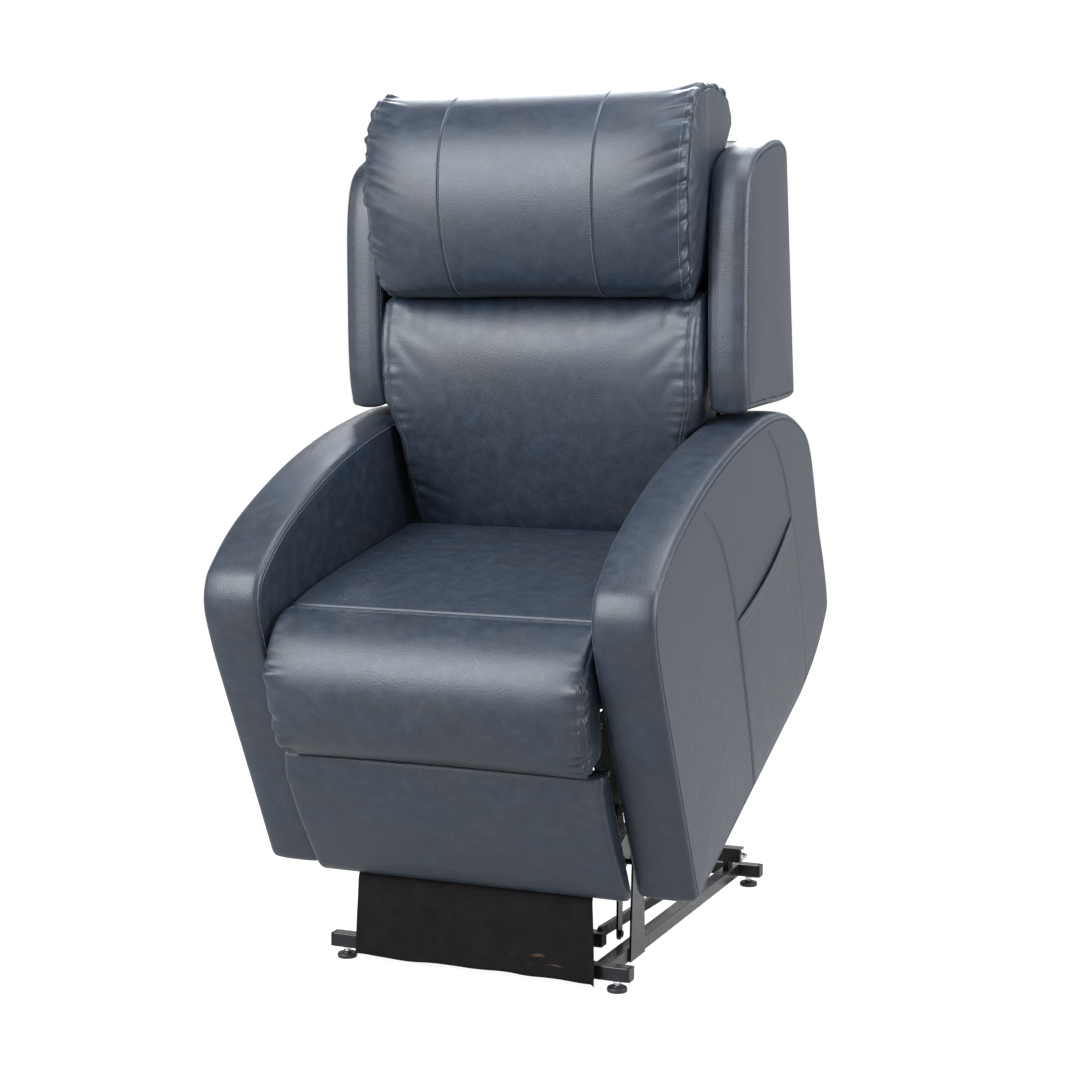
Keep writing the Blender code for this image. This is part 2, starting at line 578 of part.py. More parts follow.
# ---------------------------------------------------------------- back
def build_back(chair, looks):
    back = Frame("back_axis", chair, BACK_PIVOT)
    board_outline = [(0.6670, 0.3000), (0.7000, 0.3000), (0.9000, 1.0500), (0.8670, 1.0500)]
    board = prism("back_board", board_outline, -BACK_HALF, BACK_HALF, back, looks["wood"])
    taper(board, back, [0.3000, 0.6600, 0.6800, 1.0500], [0.2880, 0.2880, BACK_HALF, BACK_HALF])
    lugs = []
    for side in (1.0, -1.0):
        low, high = sorted((BACK_ACTUATOR_X + side * 0.0135, BACK_ACTUATOR_X + side * 0.0175))
        outline = hull_outline([BACK_CRANK, (0.6900, 0.3150)], 0.0090)
        lugs.append(prism("back_lug", outline, low, high, back))
    lugs_x = (BACK_ACTUATOR_X - 0.0175, BACK_ACTUATOR_X + 0.0175)
    bore(fuse(board, *lugs), [BACK_CRANK], lugs_x, back, ACTUATOR_PIN_BORE)
    for side_name, side in SIDES:
        x = span(side, FOOTREST_ARM_X, PLATE)
        outline = hull_outline([BACK_PIVOT, (0.7700, 0.6000)], 0.0180)
        bracket = prism("back_bracket_" + side_name, outline, *x, back, looks["frame"])
        pin_x = (side * FOOTREST_ARM_X, side * (SIDE_PLATE_X + PLATE))
        through = pin("back_pin", BACK_PIVOT, PIN_RADIUS, *pin_x, back)
        fuse(bracket, through)
        x = span(side, WING_INNER, WING_OUTER - WING_INNER)
        soften(prism("wing_" + side_name, wing_outline(), *x, back, looks["leather"]), 0.0070)

    front = curve_through([(0.5560, 0.3720), (0.5520, 0.4400), (0.5500, 0.5200), (0.5560, 0.6200),
                           (0.5760, 0.7300), (0.6020, 0.8100), (0.6400, 0.8440)], 3)
    rear = [(0.8080, 0.8440), (0.7560, 0.6500), (0.6820, 0.3720)]
    lumbar = prism("lumbar_cushion", front + rear, -0.3180, 0.3180, back, looks["leather"])
    taper(lumbar, back, [0.3720, 0.6000, 0.6700, 0.8440], [0.2820, 0.2900, 0.3140, 0.3180])
    soften(lumbar, 0.0150)

    crown = curve_through([(0.6400, 0.8500), (0.6000, 0.8900), (0.5900, 0.9700), (0.6150, 1.0700),
                           (0.6650, 1.1500), (0.7350, 1.1900), (0.8200, 1.1840), (0.9000, 1.1450),
                           (0.9300, 1.0900)], 3)
    rear = [(0.9250, 1.0680), (0.8550, 1.0680), (0.8030, 0.8500)]
    pillow = prism("head_pillow", crown + rear, -0.3200, 0.3200, back, looks["leather"])
    soften(pillow, 0.0200)

    shell = [(0.8300, 0.3600), (0.8580, 0.3560), (0.8895, 0.5780), (0.9860, 0.9800), (0.9840, 1.0150),
             (0.9560, 1.0400), (0.9350, 1.0400), (0.9300, 0.9900), (0.8420, 0.5780)]
    outer = prism("outside_back", shell, -BACK_HALF, BACK_HALF, back, looks["leather"])
    taper(outer, back, [0.3560, 0.5900, 0.6200, 1.0400], [0.2980, 0.2980, BACK_HALF - GAP, BACK_HALF - GAP])

    build_actuator("back", BACK_ACTUATOR_PIVOT, BACK_CRANK, BACK_ACTUATOR_X,
                   0.2500, (0.0700, 0.0), chair, looks, 0.0140)


def wing_outline():
    front = [(0.5920, 0.6480), (0.5960, 0.6950), (0.6150, 0.7600), (0.6500, 0.8500), (0.6900, 0.9500),
             (0.7200, 1.0080), (0.7480, 1.0430), (0.7800, 1.0600), (0.8250, 1.0640)]
    top = curve_through(front, 2) + [(0.9000, 1.0560), (0.9550, 1.0400), (0.9800, 1.0200), (0.9880, 0.9850)]
    return top + [(0.8800, 0.5500), (0.8000, 0.5760), (0.7200, 0.6050), (0.6200, 0.6430)]


# ---------------------------------------------------------------- the whole chair
def main():
    for old in list(bpy.data.objects):
        bpy.data.objects.remove(old)
    looks = {
        "frame": material("frame_steel", (0.012, 0.012, 0.013), 0.32, 0.30),
        "plastic": material("black_plastic", (0.014, 0.014, 0.015), 0.45, 0.0),
        "rubber": material("foot_rubber", (0.018, 0.018, 0.019), 0.55, 0.0),
        "zinc": material("zinc_steel", (0.55, 0.56, 0.58), 0.35, 1.0),
        "motor": material("motor_casing", (0.020, 0.020, 0.022), 0.50, 0.0),
        "leather": material("blue_leather", (0.075, 0.094, 0.120), 0.42, 0.0),
        "cloth": material("black_cloth", (0.020, 0.018, 0.020), 0.85, 0.0),
        "wood": material("plywood", (0.45, 0.33, 0.20), 0.70, 0.0),
    }
    origin = Frame("base_origin")
    origin.empty.location.y = BASE_ORIGIN_Y
    build_base(origin, looks)
    build_lift(origin, looks)
    chair = Frame("chair_origin", origin)
    chair.empty.location = (0.0, 0.0, RAISED_HEIGHT)
    chair.empty.rotation_euler.x = TILT_RAISED
    build_seat_frame(chair, looks)
    build_arms(chair, looks)
    build_footrest(chair, looks)
    build_back(chair, looks)


main()
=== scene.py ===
"""The looks of the lift recliner chair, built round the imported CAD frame.

Metres, +Z up. The chair faces -Y and +X is the sitter's left. Upholstery is laid out in the
chair frame (x, back, up), whose origin is the arms' lower front corner and which the raised
lift tilts forwards; to_row turns it into the row frame.
"""

import json
import math

import bmesh
import bpy
import numpy as np
from mathutils import Matrix, Vector, noise
from mathutils.bvhtree import BVHTree


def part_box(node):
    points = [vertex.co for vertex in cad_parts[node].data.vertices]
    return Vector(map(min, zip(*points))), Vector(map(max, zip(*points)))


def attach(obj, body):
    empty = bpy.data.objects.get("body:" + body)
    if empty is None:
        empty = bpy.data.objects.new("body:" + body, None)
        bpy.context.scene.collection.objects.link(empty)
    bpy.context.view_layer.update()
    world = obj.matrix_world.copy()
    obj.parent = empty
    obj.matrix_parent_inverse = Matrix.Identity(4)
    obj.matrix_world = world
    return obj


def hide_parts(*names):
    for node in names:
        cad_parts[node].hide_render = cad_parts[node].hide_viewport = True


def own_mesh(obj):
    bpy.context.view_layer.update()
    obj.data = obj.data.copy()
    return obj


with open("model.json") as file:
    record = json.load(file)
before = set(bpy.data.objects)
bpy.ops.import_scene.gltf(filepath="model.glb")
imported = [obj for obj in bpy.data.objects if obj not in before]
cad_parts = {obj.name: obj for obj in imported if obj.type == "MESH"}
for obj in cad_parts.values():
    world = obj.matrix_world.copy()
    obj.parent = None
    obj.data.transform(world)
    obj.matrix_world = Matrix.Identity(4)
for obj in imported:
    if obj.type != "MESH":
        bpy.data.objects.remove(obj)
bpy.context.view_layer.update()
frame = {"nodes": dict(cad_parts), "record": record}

# ---------------------------------------------------------------- sizes
TILT = math.radians(22.3)
BASE_Y = -0.2938                       # front face of the front crossbar
CHAIR_Z = 0.1714                       # the chair frame's origin above the floor

ARM_OUTER = 0.4127
ARM_INNER = 0.3032
SEAT_HALF = 0.2985
WING_OUTER = 0.3985
WING_INNER = 0.325
PILLOW_SEAM = 0.15                     # the pillow's two upright seams
PILLOW_END = 0.317
LUMBAR_END = 0.318
ROLL_END = 0.2965
FOOTREST_END = 0.298
OUTSIDE_BACK_END = 0.3242
OUTSIDE_BACK_SEAM = 0.2
REAR_PANEL_END = 0.3018
PLATE_INNER = 0.267
PLATE_OUTER = 0.271
GLIDE_INNER = 0.378
GLIDE_OUTER = 0.392
SEAM_LINE = 0.0045                     # from a seam to its row of stitches
GROOVE = 0.0026                        # depth of a seam

STITCH_PITCH = 0.0052
STITCH_LENGTH = 0.0034
THREAD = 0.0012

LIGHT_COLOUR = (0.92, 0.96, 1.0)

SIDES = (("left", 1.0), ("right", -1.0))


def to_row(points):
    """Chair-frame points (x, back, up) in the row frame."""
    points = np.asarray(points, float)
    across, back, up = points[..., 0], points[..., 1], points[..., 2]
    y = BASE_Y + back * math.cos(TILT) - up * math.sin(TILT)
    z = CHAIR_Z + back * math.sin(TILT) + up * math.cos(TILT)
    return np.stack([across, y, z], -1)


# ---------------------------------------------------------------- curves
def curve_through(points, closed=False, steps=12):
    """A smooth curve through the points (Catmull-Rom), densely sampled."""
    points = np.asarray(points, float)
    if closed:
        padded = np.vstack([points[-1:], points, points[:2]])
    else:
        padded = np.vstack([points[:1], points, points[-1:]])
    t = (np.arange(steps) / steps)[:, None]
    runs = []
    for a, b, c, d in zip(padded, padded[1:], padded[2:], padded[3:]):
        cubic = (-a + 3.0 * b - 3.0 * c + d) * t ** 3
        runs.append(0.5 * (2.0 * b + (c - a) * t + (2.0 * a - 5.0 * b + 4.0 * c - d) * t * t + cubic))
    return np.vstack(runs if closed else runs + [points[-1:]])


def arc_lengths(points):
    """Each point's distance along the line."""
    return np.concatenate([[0.0], np.cumsum(np.linalg.norm(np.diff(points, axis=0), axis=1))])


def resample(points, spacing, closed=False, marks=()):
    """Evenly spaced points along a line, with a few more beside each mark."""
    points = np.asarray(points, float)
    if closed:
        points = np.vstack([points, points[:1]])
    along = arc_lengths(points)
    count = max(2, int(round(along[-1] / spacing)))
    wanted = list(np.linspace(0.0, along[-1], count + 1))
    for mark in marks:
        place = along[np.argmin(np.linalg.norm(points - np.asarray(mark), axis=1))]
        wanted = [value for value in wanted if abs(value - place) > 0.009]
        wanted += [place + offset for offset in (-0.006, -0.0025, 0.0, 0.0025, 0.006)]
    wanted = np.array(sorted(wanted))
    found = np.stack([np.interp(wanted, along, points[:, axis]) for axis in range(points.shape[1])], 1)
    return found[:-1] if closed else found


def rounded(corners, radius=0.010, closed=True):
    """An outline with its corners rounded. An open one keeps its two ends."""
    corners = np.asarray(corners, float)
    points = []
    for index, corner in enumerate(corners):
        if not closed and index in (0, len(corners) - 1):
            points.append(corner)
            continue
        inward, outward = corners[index - 1] - corner, corners[(index + 1) % len(corners)] - corner
        reach_in = min(radius, 0.45 * np.linalg.norm(inward))
        reach_out = min(radius, 0.45 * np.linalg.norm(outward))
        start = corner + inward / np.linalg.norm(inward) * reach_in
        end = corner + outward / np.linalg.norm(outward) * reach_out
        for t in np.linspace(0.0, 1.0, 6):
            points.append((1 - t) ** 2 * start + 2 * t * (1 - t) * corner + t * t * end)
    return np.array(points)


def outward_normals(outline):
    """Unit normals of a closed outline, away from its inside."""
    tangent = np.roll(outline, -1, 0) - np.roll(outline, 1, 0)
    normal = np.stack([tangent[:, 1], -tangent[:, 0]], 1)
    normal /= np.linalg.norm(normal, axis=1)[:, None]
    x, y = outline[:, 0], outline[:, 1]
    area = np.sum(x * np.roll(y, -1) - np.roll(x, -1) * y)
    return normal if area > 0.0 else -normal


# ---------------------------------------------------------------- padded forms
class Pad:
    """A closed upholstered form: rings of points round an outline, from one end panel to the other.

    The outline is (back, up) points, and the ends are at x_low and x_high. fillet rounds the ends'
    edges, crown bulges the end panels and swell bulges the strip between them. waist scales x by
    (up, share) steps. marks and seams_x are places that need a finer grid, for grooves.
    """

    def __init__(self, outline, x_low, x_high, fillet=0.012, spacing=0.010, crown=(0.0, 0.0), swell=0.0,
                 seams_x=(), marks=(), centre=None, waist=None):
        self.outline = resample(outline, spacing, closed=True, marks=marks)
        self.normals2 = outward_normals(self.outline)
        centre = self.outline.mean(0) if centre is None else np.asarray(centre, float)
        inset = self.outline - self.normals2 * fillet
        reach = np.linalg.norm(inset - centre, axis=1)
        from_edge = [0.0016, 0.0045, 0.009, 0.015]
        from_edge += list(np.arange(0.015 + spacing, reach.max() * 0.93, spacing))
        shrink = sorted(1.0 - value / reach.max() for value in from_edge)
        angles = [math.radians(value) for value in (0.0, 8.0, 24.0, 44.0, 66.0, 90.0)]

        low = self.end_rings(x_low, -1.0, crown[0], shrink, angles, fillet, inset, centre)
        high = self.end_rings(x_high, 1.0, crown[1], shrink, angles, fillet, inset, centre)[::-1]
        self.low_seam = len(shrink)
        across = self.stations(x_low + fillet, x_high - fillet, spacing, seams_x)
        middle = []
        for x in across[1:-1]:
            t = (2.0 * x - x_low - x_high) / (x_high - x_low - 2.0 * fillet)
            middle.append((x, self.outline + self.normals2 * swell * (1.0 - t ** 4)))
        rings = low + middle + high
        self.high_seam = len(rings) - 1 - self.low_seam
        self.strip = (len(low) - 1, len(low) + len(middle))
        self.x = np.array([x for x, _ in rings])
        share = shrink + [1.0] * (len(rings) - 2 * len(shrink)) + shrink[::-1]
        self.share = np.array(share)
        self.grid = np.stack([np.column_stack([np.full(len(ring), x), ring]) for x, ring in rings])
        self.arc = arc_lengths(np.vstack([self.outline, self.outline[:1]]))[:-1]
        if waist:
            levels, widths = zip(*waist)
            self.grid[..., 0] *= np.interp(self.grid[..., 2], levels, widths)

    def end_rings(self, x, outward, crown, shrink, angles, fillet, inset, centre):
        """An end panel and the rounded edge beside it, from the middle outwards."""
        rings = [(x + outward * crown * (1.0 - k ** 3), centre + (inset - centre) * k) for k in shrink]
        for a in angles:
            place = x - outward * fillet * (1.0 - math.cos(a))
            rings.append((place, inset + self.normals2 * fillet * math.sin(a)))
        return rings

    @staticmethod
    def stations(low, high, spacing, seams_x):
        """Even places across the form, with more beside each seam."""
        count = max(2, int(round((high - low) / spacing)))
        found = list(np.linspace(low, high, count + 1))
        for seam in seams_x:
            found = [x for x in found if abs(x - seam) > 0.009 or x in (low, high)]
            found += [seam + offset for offset in (-0.006, -0.0025, 0.0, 0.0025, 0.006)]
        return sorted(found)

    def normals(self):
        """Unit normals of the whole grid, away from its inside."""
        along = np.roll(self.grid, -1, 1) - np.roll(self.grid, 1, 1)
        across = np.gradient(self.grid, axis=0)
        normal = np.cross(across, along)
        normal /= np.maximum(np.linalg.norm(normal, axis=2), 1e-9)[..., None]
        middle = (self.strip[0] + self.strip[1]) // 2
        outward = np.column_stack([np.zeros(len(self.normals2)), self.normals2])
        return normal if np.sum(normal[middle] * outward) > 0.0 else -normal

    def push(self, amount):
        """Move every point along its normal."""
        self.grid = self.grid + self.normals() * amount[..., None]

    def refine(self):
        """Halve the grid's spacing both ways, and keep the seams' places."""
        self.grid = refined(self.grid, closed=False)
        self.grid = np.swapaxes(refined(np.swapaxes(self.grid, 0, 1), closed=True), 0, 1)
        self.outline = refined(self.outline, closed=True)
        self.normals2 = outward_normals(self.outline)
        self.arc = arc_lengths(np.vstack([self.outline, self.outline[:1]]))[:-1]
        old = np.arange(len(self.x))
        new = np.arange(2 * len(self.x) - 1) / 2.0
        self.x = np.interp(new, old, self.x)
        self.share = np.interp(new, old, self.share)
        self.low_seam, self.high_seam = 2 * self.low_seam, 2 * self.high_seam
        self.strip = (2 * self.strip[0], 2 * self.strip[1])
        return self

    def facing(self, back, up, power=1.5):
        """1 where the outline's normal points along (back, up), falling to 0 at right angles."""
        return np.maximum(0.0, self.normals2 @ (np.array([back, up]) / math.hypot(back, up))) ** power

    def shift(self, amount):
        """Move every point along the outline's own normal, and less towards the middle of the ends."""
        change = self.normals2[None] * (amount * self.share[:, None])[..., None]
        self.grid[..., 1:] += change

    def nearest(self, point):
        """Index along the outline nearest to a (back, up) point."""
        return int(np.argmin(np.linalg.norm(self.outline - np.asarray(point), axis=1)))

    def ring_groove(self, ring, depth):
        """A groove along a ring, shallower on the rings beside it."""
        amount = np.zeros(self.grid.shape[:2])
        amount[ring - 1:ring + 2] = -0.45 * depth
        amount[ring] = -depth
        self.push(amount)

    def seam_groove(self, x, depth, width):
        """A groove round the form at one x."""
        distance = np.abs(self.x - x)
        amount = -depth * np.exp(-(distance / width) ** 2)
        self.push(np.repeat(amount[:, None], len(self.outline), 1))

    def cross_groove(self, point, depth, width):
        """A groove from end to end through a (back, up) point."""
        distance = np.abs(self.arc - self.arc[self.nearest(point)])
        amount = -depth * np.exp(-(distance / width) ** 2)
        self.push(np.repeat(amount[None, :], len(self.grid), 0))

    def pucker(self, ring, height, wavelength, reach, seed, part=None, slant=0.0, end_share=1.0):
        """Gathers of uneven length that run out from a ring seam and die away."""
        along = np.arange(-0.3, self.arc[-1] + 0.3, 0.001)
        ridges = [ridge_at(value / wavelength, seed) for value in along]
        lengths = [0.55 + 1.1 * unevenness(value / wavelength * 0.7, seed, 4.0) for value in along]
        gap = np.linalg.norm(self.grid - self.grid[ring][None], axis=2)
        where = self.arc[None, :] + slant * gap
        fade = np.exp(-(gap / (reach * np.interp(where, along, lengths))) ** 1.6)
        fade *= 1.0 - 0.85 * np.exp(-(gap / (0.18 * reach)) ** 2)
        amount = height * fade * np.interp(where, along, ridges)
        if part is not None:
            amount = amount * part[None, :]
        if ring < len(self.grid) // 2:
            amount[:ring] *= end_share
        else:
            amount[ring:] *= end_share
        self.push(amount)

    def held_ends(self):
        """A mask of the grid that holds both ends of the strip."""
        held = np.zeros(self.grid.shape[:2], bool)
        held[list(self.strip)] = True
        return held

    def arc_window(self, start, end, soft=0.03):
        """1 on the outline from one (back, up) point to another, the way it runs, fading outside."""
        a, b = self.arc[self.nearest(start)], self.arc[self.nearest(end)]
        total = self.arc[-1] + np.linalg.norm(self.outline[0] - self.outline[-1])
        length = (b - a) % total
        inside = (self.arc - a) % total
        outside = np.where(inside <= length, 0.0, np.minimum(inside - length, total - inside))
        return np.exp(-(outside / soft) ** 2)

    def make(self, name, look, body, replaced, fill=None):
        """The finished piece, which stands for the CAD nodes in replaced."""
        made = mesh_from_rings(name, to_row(self.grid), look)
        return dress(made, body, replaced)


def refined(rows, closed):
    """One Catmull-Clark step along the first axis of a regular grid."""
    after = np.roll(rows, -1, 0)
    before = np.roll(rows, 1, 0)
    corner = 0.75 * rows + 0.125 * (before + after)
    between = 0.5 * (rows + after)
    if not closed:
        corner[0], corner[-1] = rows[0], rows[-1]
    found = np.stack([corner, between], 1).reshape((-1,) + rows.shape[1:])
    return found if closed else found[:-1]


def unevenness(x, y, z):
    """Smooth noise, from 0 to about 1."""
    return abs(noise.noise(Vector((x, y, z))))


def ridge_at(value, seed):
    """Rounded ridges with sharp valleys, from -0.4 to 0.6."""
    return min(1.0, 2.6 * unevenness(value, 7.3 * seed, 1.7)) - 0.4


def mesh_from_rings(name, rings, look):
    """A closed mesh from rings of points, with a point in the middle of each end."""
    count, size = rings.shape[:2]
    points = np.vstack([rings.reshape(-1, 3), rings[0].mean(0)[None], rings[-1].mean(0)[None]])
    index = np.arange(count * size).reshape(count, size)
    after = np.roll(index, -1, 1)
    faces = np.stack([index[:-1], after[:-1], after[1:], index[1:]], -1).reshape(-1, 4).tolist()
    faces += [[count * size, b, a] for a, b in zip(index[0], after[0])]
    faces += [[count * size + 1, a, b] for a, b in zip(index[-1], after[-1])]
    return add_mesh(name, points, faces, look)


def mesh_from_sheet(name, grid, look):
    """An open sheet from a grid of points."""
    index = np.arange(grid.shape[0] * grid.shape[1]).reshape(grid.shape[:2])
    faces = np.stack([index[:-1, :-1], index[1:, :-1], index[1:, 1:], index[:-1, 1:]], -1)
    return add_mesh(name, grid, faces.reshape(-1, 4).tolist(), look)


def add_mesh(name, points, faces, look):
    """Link a mesh object with outward normals and smooth shading."""
    mesh = bpy.data.meshes.new(name)
    mesh.from_pydata(points.reshape(-1, 3).tolist(), [], faces)
    bm = bmesh.new()
    bm.from_mesh(mesh)
    bmesh.ops.recalc_face_normals(bm, faces=bm.faces)
    bm.to_mesh(mesh)
    bm.free()
    mesh.polygons.foreach_set("use_smooth", [True] * len(mesh.polygons))
    mesh.materials.append(look)
    made = bpy.data.objects.new(name, mesh)
    bpy.context.scene.collection.objects.link(made)
    return made


def dress(made, body, replaced=()):
    """Ride on a body, and stand for CAD nodes."""
    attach(made, body)
    if replaced:
        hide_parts(*replaced)
    return made


def thicken(made, thickness, offset):
    """Give a sheet its thickness; offset -1 puts it all behind the sheet."""
    solid = made.modifiers.new("thickness", "SOLIDIFY")
    solid.thickness = thickness
    solid.offset = offset


def applied(made):
    """Replace an object's mesh with its modifiers' result."""
    depsgraph = bpy.context.evaluated_depsgraph_get()
    mesh = bpy.data.meshes.new_from_object(made.evaluated_get(depsgraph), depsgraph=depsgraph)
    made.modifiers.clear()
    made.data = mesh
    mesh.polygons.foreach_set("use_smooth", [True] * len(mesh.polygons))
    return made


def coordinates(made):
    """The points of an object's mesh."""
    found = np.zeros(len(made.data.vertices) * 3)
    made.data.vertices.foreach_get("co", found)
    return found.reshape(-1, 3)


def inflate(pad, held, pressure, cap):
    """Swell a padded form by cloth simulation, by less than cap. held marks the points that stay."""
    made = mesh_from_rings("simulated", to_row(pad.grid), None)
    start = coordinates(made)
    stay = np.concatenate([held.ravel(), [True, True]])
    group = made.vertex_groups.new(name="held")
    group.add(np.nonzero(stay)[0].tolist(), 1.0, "REPLACE")
    modifier = made.modifiers.new("cloth", "CLOTH")
    settings = modifier.settings
    settings.quality = 6
    settings.mass = 0.4
    settings.tension_stiffness = settings.compression_stiffness = 12.0
    settings.shear_stiffness = 6.0
    settings.bending_stiffness = 0.6
    settings.use_pressure = True
    settings.uniform_pressure_force = pressure
    settings.effector_weights.gravity = 0.0
    settings.vertex_group_mass = "held"
    modifier.collision_settings.use_collision = False
    scene = bpy.context.scene
    for step in range(1, 21):
        scene.frame_set(step)
    depsgraph = bpy.context.evaluated_depsgraph_get()
    moved = coordinates(made.evaluated_get(depsgraph)) - start
    length = np.linalg.norm(moved, axis=1)
    moved *= (cap * np.tanh(length / cap) / np.maximum(length, 1e-9))[:, None]
    moved = moved[:-2].reshape(pad.grid.shape)
    turn = np.array(Matrix.Rotation(TILT, 3, "X"))
    pad.grid = pad.grid + moved @ turn
    bpy.data.objects.remove(made)
    scene.frame_set(1)


# ---------------------------------------------------------------- seams and stitches
def surface_of(made):
    """A piece's surface, for finding the nearest place on it."""
    depsgraph = bpy.context.evaluated_depsgraph_get()
    return BVHTree.FromObject(made, depsgraph)


def settle(path, surface):
    """The path's points on a surface, and the surface's normals there."""
    places, normals = [], []
    for point in path:
        place, normal, _, _ = surface.find_nearest(Vector(point))
        places.append(place)
        normals.append(normal)
    return np.array(places), np.array(normals)


def stitch_row(name, paths, surface, look, body):
    """Rows of short thread stitches on a surface, as one piece."""
    centres, tangents, normals = [], [], []
    for path in paths:
        line = resample(path, STITCH_PITCH)
        if len(line) < 3:
            continue
        places, upward = settle(line, surface)
        centres.append(places[1:-1])
        tangents.append(places[2:] - places[:-2])
        normals.append(upward[1:-1])
    centre, tangent, normal = np.vstack(centres), np.vstack(tangents), np.vstack(normals)
    tangent /= np.maximum(np.linalg.norm(tangent, axis=1), 1e-9)[:, None]
    side = np.cross(normal, tangent)
    side /= np.maximum(np.linalg.norm(side, axis=1), 1e-9)[:, None]
    half, wide, tall = STITCH_LENGTH / 2.0, THREAD / 2.0, THREAD * 0.55
    rings = []
    for along, share in ((-half, 0.35), (-half * 0.5, 1.0), (half * 0.5, 1.0), (half, 0.35)):
        lift = -0.0002 if share < 1.0 else 0.0
        for a, b in ((-1.0, 0.0), (0.0, 1.0), (1.0, 0.0), (0.0, -1.0)):
            sideways = side * (a * wide * share)
            rings.append(centre + tangent * along + sideways + normal * (b * tall * share + lift))
    points = np.stack(rings, 1)
    shape = [[0, 1, 2, 3], [15, 14, 13, 12]]
    for ring in range(3):
        for corner in range(4):
            after = (corner + 1) % 4
            low, high = ring * 4, ring * 4 + 4
            shape.append([low + after, low + corner, high + corner, high + after])
    offsets = np.arange(len(centre))[:, None, None] * 16
    faces = (np.array(shape)[None] + offsets).reshape(-1, 4)
    return dress(add_mesh(name, points, faces.tolist(), look), body)


def from_ends(line):
    """Each point's count of steps from the line's nearer end."""
    steps = np.arange(len(line))
    return np.minimum(steps, steps[::-1])


def seam_welt(name, path, surface, look, body, height=0.0014, half=0.0085):
    """A plain seam: the leather rises to two soft lips with a sharp valley between them."""
    line = resample(path, 0.005)
    places, upward = settle(line, surface)
    tangent = np.gradient(places, axis=0)
    side = np.cross(upward, tangent)
    side /= np.linalg.norm(side, axis=1)[:, None]
    profile = [(-1.0, -0.9), (-0.62, 0.15), (-0.30, 0.85), (-0.13, 0.85), (0.0, -0.25),
               (0.13, 0.85), (0.30, 0.85), (0.62, 0.15), (1.0, -0.9), (0.0, -1.6)]
    ends = np.minimum(1.0, from_ends(line) / 3.0)[:, None]
    rings = []
    for a, b in profile:
        rise = b * height * (ends if b > 0 else 1.0)
        rings.append(places + side * (a * half) + upward * rise)
    made = mesh_from_rings(name, np.stack(rings, 1), look)
    return dress(made, body)


def piping(name, path, surface, look, body, radius=0.0024):
    """A round welt cord along a seam, with tapered ends."""
    line = resample(path, 0.004)
    places, upward = settle(line, surface)
    side = np.cross(upward, np.gradient(places, axis=0))
    side /= np.linalg.norm(side, axis=1)[:, None]
    ends = np.minimum(1.0, 0.25 + from_ends(line) / 4.0)[:, None]
    rings = []
    for a in np.linspace(0.0, 2.0 * math.pi, 12, endpoint=False):
        rings.append(places + (side * math.cos(a) + upward * (math.sin(a) + 0.2)) * radius * ends)
    return dress(mesh_from_rings(name, np.stack(rings, 1), look), body)


def ring_path(pad, ring, start=None, end=None):
    """A ring of a pad as a row-frame path, whole or between two (back, up) points."""
    points = to_row(pad.grid[ring])
    if start is None:
        return np.vstack([points, points[:1]])
    a, b = pad.nearest(start), pad.nearest(end)
    order = np.arange(a, b + 1) if a <= b else np.arange(a, b + 1 + len(points)) % len(points)
    return points[order]


# ---------------------------------------------------------------- materials
class Nodes:
    """A small helper for building a node material."""

    def __init__(self, name):
        self.material = bpy.data.materials.new(name)
        self.material.use_nodes = True
        self.tree = self.material.node_tree
        self.shader = self.tree.nodes["Principled BSDF"]
        self.place = self.add("ShaderNodeTexCoord").outputs["Object"]

    def feed(self, socket, value):
        """Link an input to another node's output, or give it a constant."""
        if isinstance(value, bpy.types.NodeSocket):
            self.tree.links.new(value, socket)
        else:
            socket.default_value = (*value, 1.0) if socket.type == "RGBA" else value

    def feed_all(self, node, inputs):
        """Feed a node's inputs by name; underscores in a name stand for spaces."""
        for name, value in inputs.items():
            self.feed(node.inputs[name.replace("_", " ")], value)

    def add(self, kind, settings=None, **inputs):
        node = self.tree.nodes.new(kind)
        for name, value in (settings or {}).items():
            setattr(node, name, value)
        self.feed_all(node, inputs)
        return node

    def surface(self, **inputs):
        """Feed the shader."""
        self.feed_all(self.shader, inputs)

    def noise(self, scale, detail=3.0, roughness=0.5, place=None, distortion=0.0):
        node = self.add("ShaderNodeTexNoise", Scale=scale, Detail=detail, Roughness=roughness,
                        Distortion=distortion, Vector=place or self.place)
        return node.outputs["Fac"]

    def cells(self, scale):
        return self.add("ShaderNodeTexVoronoi", Scale=scale, Vector=self.place).outputs["Distance"]

    def ramp(self, value, stops):
        node = self.add("ShaderNodeValToRGB", Fac=value)
        ramp = node.color_ramp
        while len(ramp.elements) < len(stops):
            ramp.elements.new(0.5)
        for element, (position, colour) in zip(ramp.elements, stops):
            element.position = position
            element.color = (*colour, 1.0)
        return node.outputs["Color"]

    def mix(self, factor, first, second, blend="MIX"):
        node = self.add("ShaderNodeMix", {"data_type": "RGBA", "blend_type": blend})
        for index, value in ((0, factor), (6, first), (7, second)):
            self.feed(node.inputs[index], value)
        return node.outputs[2]

    def spread(self, value, low, high, from_low=0.3, from_high=0.7):
        node = self.add("ShaderNodeMapRange", Value=value, From_Min=from_low, From_Max=from_high,
                        To_Min=low, To_Max=high)
        return node.outputs["Result"]

    def bumps(self, *layers):
        """Stack bump layers: (height, strength, distance)."""
        normal = None
        for height, strength, distance in layers:
            node = self.add("ShaderNodeBump", Height=height, Strength=strength, Distance=distance)
            if normal:
                self.feed(node.inputs["Normal"], normal)
            normal = node.outputs["Normal"]
        self.surface(Normal=normal)


